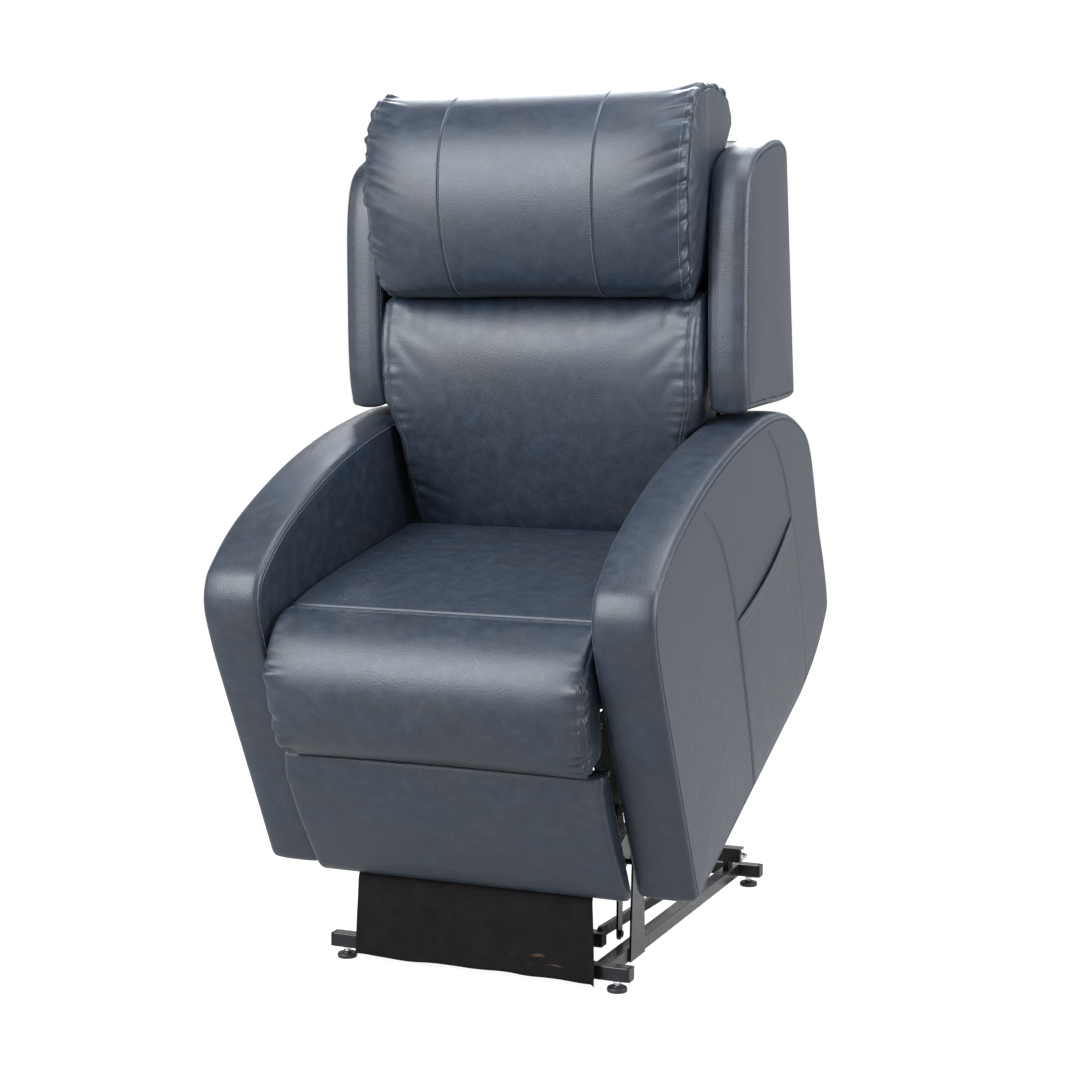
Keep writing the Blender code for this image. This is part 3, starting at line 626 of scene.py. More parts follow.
def leather_look():
    """Slate-blue coated leather: cloudy blue and brown-grey mottling, fine flecks and pebbled grain."""
    n = Nodes("slate_leather")
    clouds = n.noise(7.0, 4.0, 0.60, distortion=0.5)
    patches = n.noise(42.0, 5.0, 0.68)
    flecks = n.noise(520.0, 3.0, 0.60)
    blue = n.ramp(patches, [
        (0.34, (0.0052, 0.0096, 0.0172)),
        (0.52, (0.0078, 0.013, 0.022)),
        (0.7, (0.012, 0.018, 0.028)),
    ])
    grey = n.ramp(patches, [(0.36, (0.0092, 0.01, 0.0124)), (0.66, (0.0154, 0.016, 0.0185))])
    base = n.mix(n.spread(clouds, 0.0, 0.60, 0.38, 0.68), blue, grey)
    specks = n.ramp(flecks, [
        (0.34, (0.45, 0.45, 0.48)),
        (0.50, (1.0, 1.0, 1.0)),
        (0.68, (1.30, 1.30, 1.30)),
    ])
    n.surface(Base_Color=n.mix(0.60, base, specks, "MULTIPLY"), Roughness=n.spread(patches, 0.41, 0.50),
              Specular_IOR_Level=0.29, Coat_Weight=0.03, Coat_Roughness=0.34)
    pebbles = (n.cells(420.0), 0.36, 0.0006)
    n.bumps((n.noise(110.0, 3.0), 0.05, 0.0014), pebbles, (n.noise(900.0, 2.0), 0.18, 0.0003))
    return n.material


def thread_look():
    n = Nodes("grey_thread")
    strands = n.ramp(n.noise(900.0, 2.0), [(0.35, (0.032, 0.04, 0.054)), (0.65, (0.07, 0.08, 0.098))])
    n.surface(Base_Color=strands, Roughness=0.55, Sheen_Weight=0.2)
    n.bumps((n.noise(2600.0, 1.0), 0.3, 0.0002))
    return n.material


def steel_look(name, colour, roughness=(0.22, 0.34)):
    """Gloss powder coat with a faint orange-peel surface."""
    n = Nodes(name)
    dust = n.noise(45.0, 5.0, 0.6)
    lighter = tuple(value * 1.5 + 0.001 for value in colour)
    n.surface(Base_Color=n.ramp(dust, [(0.45, colour), (0.80, lighter)]),
              Roughness=n.spread(dust, *roughness), Specular_IOR_Level=0.18,
              Coat_Weight=0.04, Coat_Roughness=0.15)
    n.bumps((n.noise(260.0, 2.0), 0.06, 0.0004))
    return n.material


def plastic_look(name, colour, roughness, grain=900.0):
    n = Nodes(name)
    wear = n.noise(90.0, 5.0, 0.65)
    lighter = tuple(value * 1.6 + 0.003 for value in colour)
    n.surface(Base_Color=n.ramp(wear, [(0.40, colour), (0.85, lighter)]),
              Roughness=n.spread(wear, roughness, roughness + 0.12), Specular_IOR_Level=0.25)
    n.bumps((n.noise(grain, 2.0), 0.22, 0.0003))
    return n.material


def zinc_look():
    n = Nodes("zinc_plate")
    base = n.ramp(n.cells(260.0), [(0.0, (0.48, 0.50, 0.53)), (0.6, (0.68, 0.69, 0.70))])
    n.surface(Base_Color=base, Roughness=n.spread(n.noise(150.0, 4.0), 0.22, 0.42), Metallic=1.0)
    n.bumps((n.noise(700.0, 2.0), 0.12, 0.0003))
    return n.material


def cloth_look():
    """Black woven lining with brownish scuffs near its lower middle."""
    n = Nodes("black_lining")
    place = n.add("ShaderNodeMapping", Scale=(26.0, 1.0, 130.0), Rotation=(0.0, 0.35, 0.0), Vector=n.place)
    streaks = n.noise(1.0, 4.0, 0.6, place=place.outputs["Vector"])
    split = n.add("ShaderNodeSeparateXYZ", Vector=n.place)
    none, full, half = (0.0, 0.0, 0.0), (1.0, 1.0, 1.0), (0.55, 0.55, 0.55)
    height = n.ramp(split.outputs["Z"], [(0.02, none), (0.04, full), (0.085, none)])
    mark = n.mix(1.0, n.ramp(streaks, [(0.62, none), (0.72, full)]), height, "MULTIPLY")
    patches = n.ramp(n.noise(9.0, 2.0), [(0.50, none), (0.62, half)])
    mark = n.mix(1.0, mark, patches, "MULTIPLY")
    base = n.ramp(n.noise(30.0, 5.0), [(0.3, (0.0022, 0.0018, 0.0021)), (0.75, (0.0048, 0.0038, 0.0043))])
    n.surface(Base_Color=n.mix(mark, base, (0.10, 0.060, 0.040)), Roughness=0.85, Specular_IOR_Level=0.08)
    weave = []
    for direction in ("X", "Z"):
        wave = n.add("ShaderNodeTexWave", {"bands_direction": direction}, Scale=150.0, Vector=n.place)
        weave.append((wave.outputs["Fac"], 0.25, 0.0004))
    n.bumps(*weave, (n.noise(24.0, 3.0), 0.25, 0.004))
    return n.material


def plywood_look():
    n = Nodes("plywood")
    place = n.add("ShaderNodeMapping", Scale=(3.0, 60.0, 60.0), Vector=n.place)
    grain = n.noise(1.0, 6.0, 0.65, place=place.outputs["Vector"], distortion=1.5)
    stops = [(0.3, (0.014, 0.009, 0.006)), (0.55, (0.026, 0.017, 0.011)), (0.75, (0.04, 0.028, 0.019))]
    n.surface(Base_Color=n.ramp(grain, stops), Roughness=0.68)
    n.bumps((grain, 0.25, 0.0008))
    return n.material


# ---------------------------------------------------------------- upholstery
def arm_outline():
    points = [(0.0, 0.0), (-0.012, 0.18), (-0.029, 0.42), (-0.031, 0.49), (-0.027, 0.545),
              (-0.008, 0.582), (0.025, 0.606), (0.13, 0.638), (0.3, 0.652), (0.46, 0.644),
              (0.616, 0.619), (0.709, 0.595), (0.8, 0.553), (0.881, 0.485), (0.908, 0.43),
              (0.914, 0.36), (0.917, 0.25), (0.927, 0.176), (0.928, 0.09), (0.906, 0.059),
              (0.824, 0.023), (0.74, 0.006), (0.685, 0.0)]
    corner = rounded([(0.5, 0.0), (0.0, 0.0), (-0.012, 0.18)], 0.016, closed=False)
    return np.vstack([corner[:-1], curve_through(points[1:])])


def end_crowns(side, inner, outer):
    """A pad's end crowns (low x, high x), given those of its inner and outer end."""
    return (inner, outer) if side > 0.0 else (outer, inner)


def stitched_cover(pad, name, body, looks):
    """Stand a pad for the CAD node of that name, seamed and stitched at both ends. Gives its surface."""
    pad.refine()
    for ring in (pad.low_seam, pad.high_seam):
        pad.ring_groove(ring, GROOVE)
    paths = [ring_path(pad, ring) for ring in (pad.low_seam + 4, pad.high_seam - 4)]
    made = pad.make(name + "_cover", looks["leather"], body, [name])
    surface = surface_of(made)
    stitch_row(name + "_stitches", paths, surface, looks["thread"], body)
    return surface


def make_arms(looks):
    """The two arms, each with stitched edges, two upright seams and a pocket."""
    for side_name, side in SIDES:
        low, high = sorted((side * ARM_INNER, side * ARM_OUTER))
        pad = Pad(arm_outline(), low, high, fillet=0.013, crown=end_crowns(side, 0.001, 0.0035),
                  swell=0.0022, centre=(0.44, 0.33))
        name, body = f"arm_{side_name}", "seat_frame"
        surface = stitched_cover(pad, name, body, looks)
        front_seam, rear_seam = arm_seams(side)
        seam_welt(name + "_front_seam", to_row(front_seam), surface, looks["leather"], body)
        seam_welt(name + "_rear_seam", to_row(rear_seam), surface, looks["leather"], body)
        make_pocket(side_name, side, front_seam, rear_seam, surface, looks)


def arm_seams(side):
    """The outer panel's two upright seams, which curve forwards at the top."""
    x = side * (ARM_OUTER + 0.004)
    front = [(0.256, 0.624), (0.295, 0.582), (0.329, 0.512), (0.35, 0.419), (0.3545, 0.34),
             (0.356, 0.2365), (0.357, 0.13), (0.356, 0.004)]
    rear = [(0.648, 0.593), (0.6814, 0.5443), (0.706, 0.491), (0.72, 0.4298), (0.729, 0.36),
            (0.735, 0.2962), (0.733, 0.186), (0.72, 0.008)]
    runs = (curve_through(front), curve_through(rear))
    return [np.column_stack([np.full(len(run), x), run]) for run in runs]


def make_pocket(side_name, side, front_seam, rear_seam, surface, looks):
    """The patch pocket between the two seams. Its slanting mouth sags open a little."""
    mouth = curve_through([(0.3545, 0.356), (0.43, 0.352), (0.52, 0.351), (0.62, 0.358),
                           (0.727, 0.376)])
    columns, rows, thickness = 33, 25, 0.0016
    mouth = resample(mouth, arc_lengths(mouth)[-1] / (columns - 1))[:columns]
    grid = []
    for index, up in enumerate(mouth[:, 1]):
        share = index / (columns - 1)
        line = []
        for row in range(rows):
            drop = (row / (rows - 1)) ** 1.5
            level = up + (0.006 - up) * drop
            front = np.interp(level, front_seam[::-1, 2], front_seam[::-1, 1])
            rear = np.interp(level, rear_seam[::-1, 2], rear_seam[::-1, 1])
            line.append((side * ARM_OUTER, front + (rear - front) * share, level))
        grid.append(line)
    grid = np.array(grid)
    places, normals = settle(to_row(grid.reshape(-1, 3)), surface)
    share = np.linspace(0.0, 1.0, columns)[:, None]
    drop = (grid[:, :1, 2] - grid[..., 2]) / 0.09
    open_by = 0.0034 * np.sin(math.pi * share) ** 0.7 * np.exp(-drop ** 1.3)
    hem = 0.0010 * np.exp(-((drop * 0.09 - 0.004) / 0.004) ** 2)
    lift = (thickness + open_by + hem).ravel()[:, None]
    outer = places + normals * lift
    name = f"arm_{side_name}_pocket"
    made = mesh_from_sheet(name, outer.reshape(columns, rows, 3), looks["leather"])
    if made.data.polygons[0].normal.x * side < 0.0:
        made.data.flip_normals()
    thicken(made, thickness, -1.0)
    smooth = made.modifiers.new("smooth", "SUBSURF")
    smooth.levels = smooth.render_levels = 1
    applied(made)
    dress(made, "seat_frame")
    below = to_row(grid[1:-1, 4]) + normals.reshape(columns, rows, 3)[1:-1, 4] * 0.008
    stitch_row(name + "_stitches", [below], surface_of(made), looks["thread"], "seat_frame")


def wing_outline():
    front = [(0.592, 0.648), (0.596, 0.695), (0.615, 0.76), (0.65, 0.85), (0.69, 0.95),
             (0.72, 1.008), (0.748, 1.043), (0.78, 1.06), (0.825, 1.064)]
    rest = [(0.825, 1.064), (0.9, 1.056), (0.955, 1.04), (0.986, 1.012), (0.882, 0.552),
            (0.8, 0.578), (0.72, 0.607), (0.61, 0.645), (0.592, 0.648)]
    return np.vstack([curve_through(front), rounded(rest, 0.020, closed=False)[1:-1]])


def make_wings(looks):
    """The two head wings, with stitched and piped edges."""
    for side_name, side in SIDES:
        low, high = sorted((side * WING_INNER, side * WING_OUTER))
        pad = Pad(wing_outline(), low, high, fillet=0.014, crown=end_crowns(side, 0.0, 0.004),
                  swell=0.003, centre=(0.79, 0.82))
        name = f"wing_{side_name}"
        surface = stitched_cover(pad, name, "back", looks)
        outer = pad.high_seam if side > 0.0 else pad.low_seam
        edge = ring_path(pad, outer, (0.86, 0.558), (0.61, 0.648))
        piping(name + "_piping", edge, surface, looks["leather"], "back")


def make_pillow(looks):
    """The head pillow: three panels, with gathers beside its end seams."""
    crown = curve_through([(0.64, 0.85), (0.6, 0.886), (0.59, 0.97), (0.615, 1.07),
                           (0.665, 1.15), (0.735, 1.19), (0.82, 1.184), (0.9, 1.145),
                           (0.93, 1.095)])
    rear = [(0.925, 1.07), (0.865, 1.069), (0.836, 0.97), (0.808, 0.858), (0.72, 0.85)]
    pad = Pad(np.vstack([crown, rear]), -PILLOW_END, PILLOW_END, fillet=0.010, spacing=0.009,
              crown=(0.006, 0.006), seams_x=(-PILLOW_SEAM, PILLOW_SEAM), centre=(0.73, 1.0),
              waist=[(0.85, 0.96), (1.0, 0.99), (1.15, 1.0)])
    front = pad.arc_window((0.64, 0.85), (0.9, 1.145))
    toward_end = np.minimum(1.0, np.abs(pad.x) / PILLOW_END)
    pad.shift(-0.032 * toward_end[:, None] ** 7 * (front * pad.facing(-1.0, 0.15))[None, :])
    held = pad.held_ends()
    for x in (-PILLOW_SEAM, PILLOW_SEAM):
        held[np.argmin(np.abs(pad.x - x))] = True
    held[:, pad.grid[pad.strip[0], :, 1] > 0.80] = True
    inflate(pad, held, 3.0, 0.009)
    pad.refine()
    front = pad.arc_window((0.64, 0.85), (0.9, 1.145))
    for seam, seed in ((pad.low_seam + 2, 3), (pad.high_seam - 2, 5)):
        pad.pucker(seam, 0.0150, 0.030, 0.044, seed, front, slant=0.45, end_share=0.10)
        pad.pucker(seam, 0.0024, 0.016, 0.020, seed + 1, front, end_share=0.2)
        pad.ring_groove(seam, 0.0030)
    for x in (-PILLOW_SEAM, PILLOW_SEAM):
        pad.seam_groove(x, GROOVE, 0.0012)
    made = pad.make("head_pillow_cover", looks["leather"], "back", ["head_pillow"], fill=0.8)
    surface = surface_of(made)
    beside = (SEAM_LINE - PILLOW_SEAM, PILLOW_SEAM - SEAM_LINE)
    inner = [int(np.argmin(np.abs(pad.x - x))) for x in beside]
    ends = ((0.66, 0.85), (0.93, 1.09))
    first, last = pad.strip
    paths = [ring_path(pad, ring, *ends) for ring in inner + [first + 1, last - 1]]
    stitch_row("head_pillow_stitches", paths, surface, looks["thread"], "back")


def make_lumbar(looks):
    """The back cushion below the pillow, gathered along its top and at its lower corners."""
    front = curve_through([(0.56, 0.376), (0.552, 0.44), (0.548, 0.52), (0.551, 0.6),
                           (0.564, 0.69), (0.588, 0.76), (0.616, 0.81), (0.65, 0.842)])
    rear = rounded([(0.65, 0.842), (0.806, 0.842), (0.756, 0.65), (0.682, 0.376),
                    (0.56, 0.376)], 0.012, closed=False)
    outline = np.vstack([front, rear[1:-1]])
    pad = Pad(outline, -LUMBAR_END, LUMBAR_END, fillet=0.014, spacing=0.01, crown=(0.001, 0.001),
              centre=(0.655, 0.62), waist=[(0.372, 0.89), (0.6, 0.915), (0.68, 0.985), (0.844, 1.0)])
    held = pad.held_ends()
    held[:, pad.grid[pad.strip[0], :, 1] > 0.66] = True
    inflate(pad, held, 4.0, 0.022)
    pad.refine()
    first, last = pad.strip
    front_part = pad.arc_window((0.56, 0.376), (0.65, 0.842))
    low_part = pad.arc_window((0.56, 0.376), (0.553, 0.48), 0.05)
    for seam, seed in ((first, 11), (last, 13)):
        pad.pucker(seam, 0.0042, 0.026, 0.028, seed, front_part, end_share=0.5)
        pad.pucker(seam, 0.0110, 0.038, 0.070, seed + 1, low_part, slant=0.4, end_share=0.3)
        pad.ring_groove(seam, GROOVE)
    gather_top(pad)
    made = pad.make("lumbar_cover", looks["leather"], "back", ["lumbar_cushion"], fill=0.7)
    paths = [ring_path(pad, ring, (0.56, 0.376), (0.65, 0.842)) for ring in (first + 1, last - 1)]
    stitch_row("lumbar_stitches", paths, surface_of(made), looks["thread"], "back")


def gather_top(pad):
    """Gathers that run down from the lumbar cushion's top edge."""
    top = pad.arc[pad.nearest((0.65, 0.842))]
    down = np.maximum(0.0, top - pad.arc)
    fade = np.exp(-(down / 0.034) ** 1.4) * (pad.arc < top + 0.05)
    ridges = np.array([ridge_at(x / 0.042, 21) for x in pad.x])
    strengths = np.array([0.4 + 0.9 * unevenness(x * 9.0, 2.0, 5.0) for x in pad.x])
    pad.push(0.005 * (ridges * strengths)[:, None] * fade[None, :])


def make_seat(looks):
    """The seat cushion behind the roll."""
    top = curve_through([(0.064, 0.512), (0.14, 0.506), (0.26, 0.486), (0.4, 0.458),
                         (0.54, 0.43)])
    rest = rounded([(0.54, 0.43), (0.544, 0.42), (0.542, 0.307), (0.064, 0.3815),
                    (0.064, 0.512)], 0.008, closed=False)
    outline = np.vstack([top, rest[1:-1]])
    pad = Pad(outline, -SEAT_HALF, SEAT_HALF, fillet=0.018, spacing=0.011, centre=(0.30, 0.42))
    first, last = pad.strip
    held = np.zeros(pad.grid.shape[:2], bool)
    held[:first] = held[last + 1:] = True
    held[:, pad.grid[first, :, 2] < 0.40] = True
    held[:, pad.grid[first, :, 1] < 0.075] = True
    inflate(pad, held, 3.5, 0.014)
    pad.refine()
    pad.make("seat_cover", looks["leather"], "seat_frame", ["seat_cushion"], fill=0.8)


def make_roll(looks):
    """The padded roll at the front of the seat, with its cross seam on top and ruched ends."""
    front = curve_through([(0.061, 0.512), (0.02, 0.5165), (-0.035, 0.497), (-0.08, 0.45),
                           (-0.098, 0.395), (-0.094, 0.335), (-0.08, 0.299), (-0.07, 0.289)])
    inside = rounded([(-0.07, 0.289), (-0.01, 0.293), (0.0045, 0.315), (0.0045, 0.392),
                      (0.061, 0.386), (0.061, 0.512)], 0.01, closed=False)
    seam = (0.054, 0.513)
    pad = Pad(np.vstack([front, inside[1:-1]]), -ROLL_END, ROLL_END, fillet=0.014, spacing=0.009,
              centre=(0.0, 0.45), marks=[seam], waist=[(0.289, 0.96), (0.4, 0.988), (0.5, 1.0)])
    front_part = pad.arc_window((-0.01, 0.506), (-0.07, 0.29))
    drawn_in = np.abs(pad.x / ROLL_END)[:, None] ** 10
    pad.shift(-0.012 * drawn_in * (front_part * pad.facing(-1.0, 0.3))[None, :])
    held = pad.held_ends()
    held[:, pad.grid[pad.strip[0], :, 1] > -0.012] = True
    held[:, pad.nearest(seam)] = True
    inflate(pad, held, 3.0, 0.012)
    pad.refine()
    first, last = pad.strip
    front_part = pad.arc_window((-0.01, 0.506), (-0.07, 0.29))
    side_part = pad.arc_window((-0.07, 0.47), (-0.07, 0.29), 0.02)
    for end, seed in ((pad.low_seam + 6, 31), (pad.high_seam - 6, 33)):
        pad.pucker(end, 0.0034, 0.024, 0.026, seed, front_part, end_share=0.5)
        pad.pucker(end, 0.0140, 0.024, 0.026, seed + 1, side_part, end_share=0.7)
        pad.ring_groove(end, GROOVE)
    pad.cross_groove(seam, 0.0030, 0.0014)
    made = pad.make("seat_roll_cover", looks["leather"], "seat_roll", ["seat_roll"], fill=0.8)
    surface = surface_of(made)
    row = pad.nearest((0.046, 0.5142))
    across = to_row(pad.grid[first:last + 1, row])
    stitch_row("seat_roll_stitches", [across], surface, looks["thread"], "seat_roll")


def arch(x, end):
    """0 at both ends, 1 in the middle."""
    return np.sin(np.clip((x + end) / (2.0 * end), 0.0, 1.0) * math.pi)


def make_footrest(looks):
    """The footrest's padded face, gathered at its upper corners."""
    face = curve_through([(-0.056, 0.276), (-0.064, 0.24), (-0.056, 0.15), (-0.03, 0.022)])
    rest = rounded([(-0.03, 0.022), (-0.018, 0.004), (0.001, 0.008), (-0.021, 0.279),
                    (-0.052, 0.283), (-0.056, 0.276)], 0.007, closed=False)
    outline = np.vstack([face, rest[1:-1]])
    pad = Pad(outline, -FOOTREST_END, FOOTREST_END, fillet=0.009, spacing=0.009, centre=(-0.034, 0.15))
    pad.refine()
    first, last = pad.strip
    swell = arch(pad.x, FOOTREST_END) ** 0.5
    front_part = pad.arc_window((-0.058, 0.27), (-0.04, 0.06), 0.03)
    pad.push(0.004 * swell[:, None] * front_part[None, :])
    top_part = pad.arc_window((-0.056, 0.276), (-0.064, 0.235), 0.02)
    for end, seed in ((first, 41), (last, 43)):
        pad.pucker(end, 0.0036, 0.020, 0.024, seed, top_part)
    pad.make("footrest_cover", looks["leather"], "footrest_panel", ["footrest_panel"], fill=0.6)


def make_backs(looks):
    """The outside back and the panel that closes the seat box behind."""
    shell = [(0.83, 0.36), (0.858, 0.356), (0.8895, 0.578), (0.986, 0.98), (0.984, 1.015),
             (0.956, 1.04), (0.935, 1.04), (0.93, 0.99), (0.842, 0.578)]
    seams = (-OUTSIDE_BACK_SEAM, OUTSIDE_BACK_SEAM)
    pad = Pad(rounded(shell, 0.012), -OUTSIDE_BACK_END, OUTSIDE_BACK_END, fillet=0.008, spacing=0.010,
              centre=(0.893, 0.7), seams_x=seams,
              waist=[(0.356, 0.918), (0.59, 0.918), (0.62, 1.0), (0.985, 1.0), (1.04, 0.965)])
    pad.refine()
    rear = pad.arc_window((0.858, 0.356), (0.984, 1.015), 0.02)
    bulge = arch(pad.x, OUTSIDE_BACK_END) ** 0.6
    pad.push(0.006 * bulge[:, None] * rear[None, :])
    for x in seams:
        pad.seam_groove(x, 0.0024, 0.0014)
    made = pad.make("outside_back_cover", looks["leather"], "back", ["outside_back"])
    beside = [x + offset for x in seams for offset in (-SEAM_LINE, SEAM_LINE)]
    rings = [int(np.argmin(np.abs(pad.x - x))) for x in beside]
    paths = [ring_path(pad, ring, (0.858, 0.356), (0.984, 1.015)) for ring in rings]
    stitch_row("outside_back_stitches", paths, surface_of(made), looks["thread"], "back")

    outline = rounded([(0.904, 0.03), (0.916, 0.034), (0.913, 0.235), (0.901, 0.235)], 0.004)
    pad = Pad(outline, -REAR_PANEL_END, REAR_PANEL_END, fillet=0.003, spacing=0.01, centre=(0.909, 0.13))
    pad.refine()
    hem = pad.nearest((0.9132, 0.222))
    made = pad.make("rear_panel_cover", looks["leather"], "seat_frame", ["rear_panel"])
    first, last = pad.strip
    across = to_row(pad.grid[first:last + 1, hem])
    stitch_row("rear_panel_stitches", [across], surface_of(made), looks["thread"], "seat_frame")


# ---------------------------------------------------------------- base
def make_skirt(looks):
    """The black cloth that closes the front."""
    low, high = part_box("front_skirt")
    top = high.z + 0.022
    columns, rows = 95, 37
    points = []
    for row in range(rows):
        up = row / (rows - 1)
        half = high.x + (0.225 - high.x) * up
        for column in range(columns):
            across = -1.0 + 2.0 * column / (columns - 1)
            x = across * half
            hang = (1.0 - up) ** 2
            y = low.y + 0.0009
            y += 0.0045 * hang * noise.noise(Vector((x * 9.0, up * 0.8, 3.0)))
            y += 0.0022 * noise.noise(Vector((x * 22.0, up * 2.0, 9.0)))
            z = low.z + (top - low.z) * up
            y += 0.013 * max(0.0, (z - 0.158) / (top - 0.158)) ** 1.3
            z += (0.0034 * noise.noise(Vector((x * 11.0, 0.0, 5.0))) - 0.003) * hang
            corner = max(0.0, across - 0.965) / 0.035
            y -= 0.012 * corner * hang
            points.append((x, y, z))
    made = mesh_from_sheet("front_skirt_cloth", np.array(points).reshape(rows, columns, 3), looks["cloth"])
    thicken(made, 0.0012, 0.0)
    applied(made)
    dress(made, "base", ["front_skirt"])
    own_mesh(made)


def turned(name, profile, centre, look, body, axis="Z", segments=40, replaced=()):
    """A turned piece: (radius, height) points, with closed ends."""
    rings = []
    for radius, along in profile:
        turn = np.linspace(0.0, 2.0 * math.pi, segments, endpoint=False)
        a, b = radius * np.cos(turn), radius * np.sin(turn)
        height = np.full(segments, along)
        ring = {"Z": (a, b, height), "X": (height, a, b)}[axis]
        rings.append(np.stack(ring, 1) + np.asarray(centre))
    return dress(mesh_from_rings(name, np.array(rings), look), body, replaced)


def make_feet(looks):
    """Levelling feet: a moulded disc with a rolled rim, a threaded stud and a hexagon nut."""
    for end in ("front", "rear"):
        for side_name, _ in SIDES:
            node = f"levelling_foot_{end}_{side_name}"
            low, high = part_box(node)
            centre = ((low.x + high.x) / 2.0, (low.y + high.y) / 2.0, 0.0)
            radius, body = (high.x - low.x) / 2.0, f"foot_{end}_{side_name}"
            section = [(0.80, 0.0), (0.96, 0.0006), (1.0, 0.0026), (1.0, 0.0058), (0.97, 0.0078),
                       (0.88, 0.0090), (0.74, 0.0092), (0.62, 0.0084), (0.50, 0.0086), (0.44, 0.0100),
                       (0.42, 0.0112), (0.28, 0.0116)]
            disc = [(radius * share, height) for share, height in section]
            turned(node + "_disc", disc, centre, looks["rubber"], body, replaced=[node])
            stud = [(0.003, 0.01)]
            for step in range(9):
                height = 0.0118 + 0.00105 * step
                stud += [(0.0037, height), (0.0043, height + 0.00045), (0.0037, height + 0.0009)]
            turned(node + "_stud", stud, centre, looks["zinc"], body, segments=24)
            nut = [(0.006, 0.014), (0.0074, 0.0148), (0.0078, 0.0155), (0.0078, 0.0192),
                   (0.0074, 0.0199), (0.006, 0.0204)]
            turned(node + "_nut", nut, centre, looks["zinc"], body, segments=6)


def make_glides(looks):
    """Two short plastic glides under the rear of the chair."""
    for side_name, side in SIDES:
        outline = rounded([(0.856, -0.012), (0.876, -0.012), (0.878, 0.052), (0.854, 0.046)], 0.003)
        low, high = sorted((side * GLIDE_INNER, side * GLIDE_OUTER))
        pad = Pad(outline, low, high, fillet=0.002, spacing=0.003, centre=(0.866, 0.018))
        made = mesh_from_rings(f"rear_glide_{side_name}", to_row(pad.refine().grid), looks["plastic"])
        dress(made, "seat_frame")


def make_front_plates(looks):
    """Black plates at the front corners of the seat frame, each with a row of three rivets."""
    outline = rounded([(-0.002, 0.105), (0.07, 0.085), (0.07, 0.342), (0.009, 0.352), (0.009, 0.288),
                       (-0.012, 0.284)], 0.006)
    for side_name, side in SIDES:
        low, high = sorted((side * PLATE_INNER, side * PLATE_OUTER))
        pad = Pad(outline, low, high, fillet=0.0006, spacing=0.006, centre=(0.031, 0.23))
        name = f"seat_front_plate_{side_name}"
        made = mesh_from_rings(name, to_row(pad.grid), looks["steel"])
        sharpen(dress(made, "seat_frame"))
        for index, (back, up) in enumerate([(0.03, 0.13), (0.03, 0.235), (0.03, 0.33)]):
            centre = to_row((side * (PLATE_OUTER + 0.0002), back, up))
            dome = [(0.0062, 0.0), (0.006, 0.001), (0.0045, 0.0022), (0.0015, 0.0027)]
            profile = [(radius, side * height) for radius, height in dome]
            turned(f"{name}_rivet_{index}", profile, centre, looks["zinc"], "seat_frame", axis="X",
                   segments=20)


def sharpen(made):
    """Keep edges over 32 degrees sharp."""
    made.data.set_sharp_from_angle(angle=math.radians(32.0))


def finish_cad_nodes(looks):
    """Give the CAD nodes that stay their materials, with rounded edges shaded smoothly."""
    slots = {row["node"]: row["material_slot"] for row in frame["record"]["subparts"]}
    by_slot = {"frame_steel": "steel", "black_plastic": "plastic", "foot_rubber": "rubber",
               "zinc_steel": "zinc", "motor_casing": "motor", "plywood": "plywood",
               "blue_leather": "leather", "black_cloth": "cloth"}
    for name, node in frame["nodes"].items():
        look = looks[by_slot[slots[name]]]
        node.data.materials.clear()
        node.data.materials.append(look)
        node.data.polygons.foreach_set("use_smooth", [True] * len(node.data.polygons))
        sharpen(node)


# ---------------------------------------------------------------- stage
def make_floor():
    """A pale floor that stays white in the studio light."""
    size = 14.0
    mesh = bpy.data.meshes.new("floor")
    corners = [(-size, -size, 0), (size, -size, 0), (size, size, 0), (-size, size, 0)]
    mesh.from_pydata(corners, [], [(0, 1, 2, 3)])
    n = Nodes("pale_floor")
    n.surface(Base_Color=(0.17, 0.17, 0.17), Roughness=0.90, Specular_IOR_Level=0.10,
              Emission_Color=(1.0, 1.0, 1.0), Emission_Strength=0.90)
    floor = bpy.data.objects.new("floor", mesh)
    mesh.materials.append(n.material)
    bpy.context.scene.collection.objects.link(floor)


def make_dome():
    """A white surround that is darker overhead."""
    world = bpy.data.worlds.new("studio")
    bpy.context.scene.world = world
    world.use_nodes = True
    tree = world.node_tree
    direction = tree.nodes.new("ShaderNodeTexCoord")
    split = tree.nodes.new("ShaderNodeSeparateXYZ")
    dome = tree.nodes.new("ShaderNodeValToRGB")
    dome.color_ramp.elements[0].position = 0.30
    dome.color_ramp.elements[0].color = (1.0, 1.0, 1.0, 1.0)
    dome.color_ramp.elements[1].position = 0.62
    dome.color_ramp.elements[1].color = (0.40, 0.40, 0.41, 1.0)
    tree.links.new(direction.outputs["Generated"], split.inputs["Vector"])
    tree.links.new(split.outputs["Z"], dome.inputs["Fac"])
    tree.links.new(dome.outputs["Color"], tree.nodes["Background"].inputs["Color"])


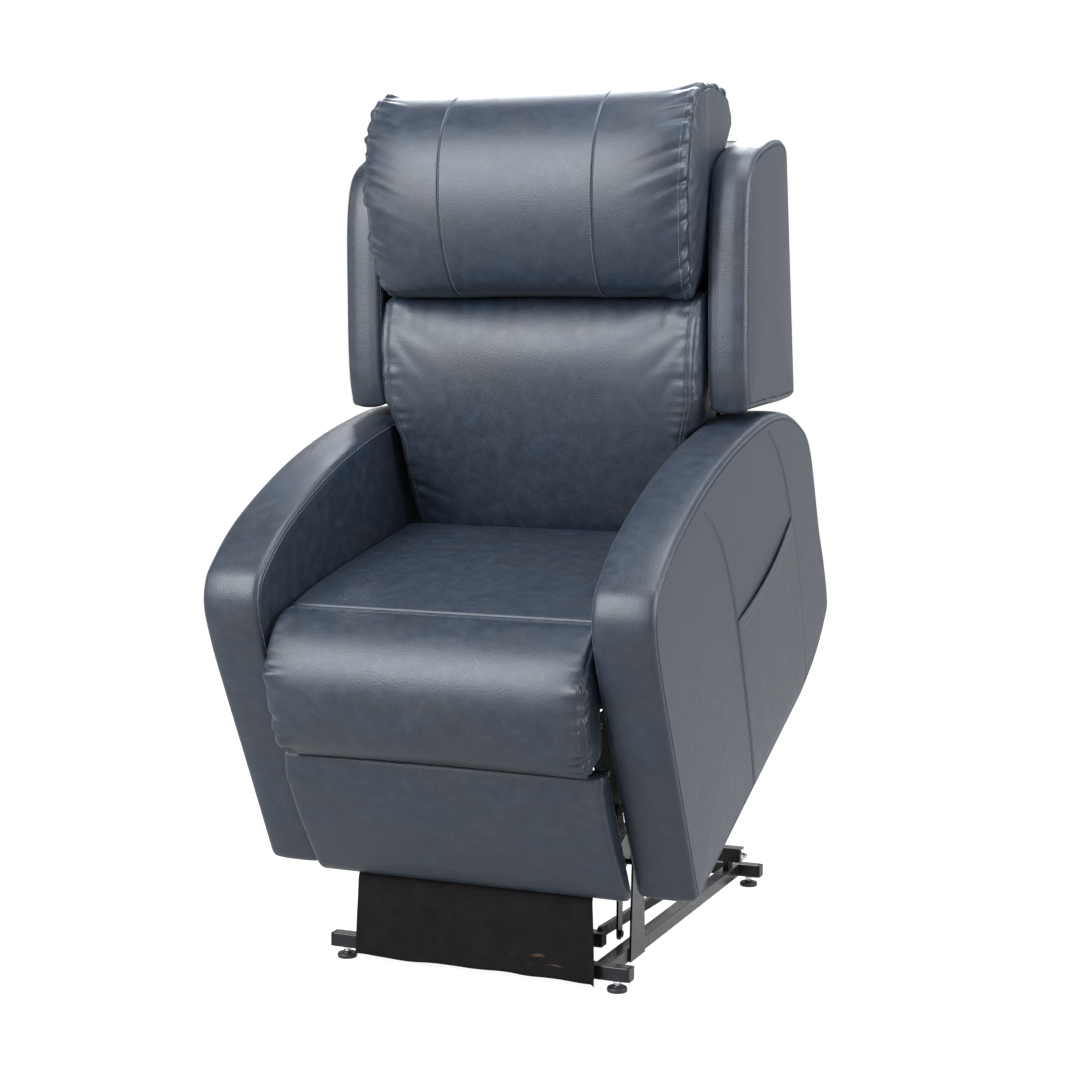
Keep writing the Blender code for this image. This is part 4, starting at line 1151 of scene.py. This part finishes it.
def make_lights():
    """Large soft lamps: in front to the picture's left, behind, to its right and overhead."""
    centre = Vector((0.0, 0.0, 0.75))
    lights = [
        ("key_light", (-1.35, -3.10, 2.45), (2.2, 2.4), 435.0),
        ("rear_light", (-0.60, 2.40, 3.20), (2.4, 1.4), 190.0),
        ("right_light", (3.40, -0.20, 1.90), (1.2, 1.8), 190.0),
        ("top_light", (0.80, -0.30, 3.30), (1.8, 1.6), 135.0),
    ]
    for name, place, size, power in lights:
        data = bpy.data.lights.new(name, "AREA")
        data.shape = "RECTANGLE"
        data.size, data.size_y = size
        data.energy = power
        data.color = LIGHT_COLOUR
        light = bpy.data.objects.new(name, data)
        light.location = place
        light.rotation_mode = "QUATERNION"
        light.rotation_quaternion = (centre - Vector(place)).to_track_quat("-Z", "Y")
        bpy.context.scene.collection.objects.link(light)


def make_camera():
    """A camera of about 70 mm, low and to the chair's left front."""
    azimuth, elevation, roll = math.radians(22.573), math.radians(6.784), math.radians(0.17)
    level = math.cos(elevation)
    back = Vector((math.sin(azimuth) * level, -math.cos(azimuth) * level, math.sin(elevation)))
    right = Vector((math.cos(azimuth), math.sin(azimuth), 0.0))
    up = back.cross(right)
    turned_right = right * math.cos(roll) + up * math.sin(roll)
    turned_up = up * math.cos(roll) - right * math.sin(roll)
    turn = Matrix((turned_right, turned_up, back)).transposed().to_4x4()
    data = bpy.data.cameras.new("camera")
    data.lens = 71.139
    data.sensor_width = 36.0
    data.shift_y = 0.040
    camera = bpy.data.objects.new("camera", data)
    camera.matrix_world = Matrix.Translation((1.5216, -3.6614, 1.1437)) @ turn
    bpy.context.scene.collection.objects.link(camera)
    bpy.context.scene.camera = camera
    bpy.context.scene.view_settings.view_transform = "Standard"


def main():
    looks = {
        "leather": leather_look(),
        "thread": thread_look(),
        "steel": steel_look("black_powder_coat", (0.0055, 0.0055, 0.0065)),
        "plastic": plastic_look("black_plastic", (0.008, 0.008, 0.009), 0.38),
        "rubber": plastic_look("foot_rubber", (0.008, 0.008, 0.009), 0.42, 500.0),
        "motor": plastic_look("motor_casing", (0.018, 0.018, 0.02), 0.45),
        "zinc": zinc_look(),
        "cloth": cloth_look(),
        "plywood": plywood_look(),
    }
    make_camera()
    make_floor()
    make_dome()
    make_lights()
    finish_cad_nodes(looks)
    make_arms(looks)
    make_wings(looks)
    make_pillow(looks)
    make_lumbar(looks)
    make_seat(looks)
    make_roll(looks)
    make_footrest(looks)
    make_backs(looks)
    make_skirt(looks)
    make_feet(looks)
    make_glides(looks)
    make_front_plates(looks)


main()
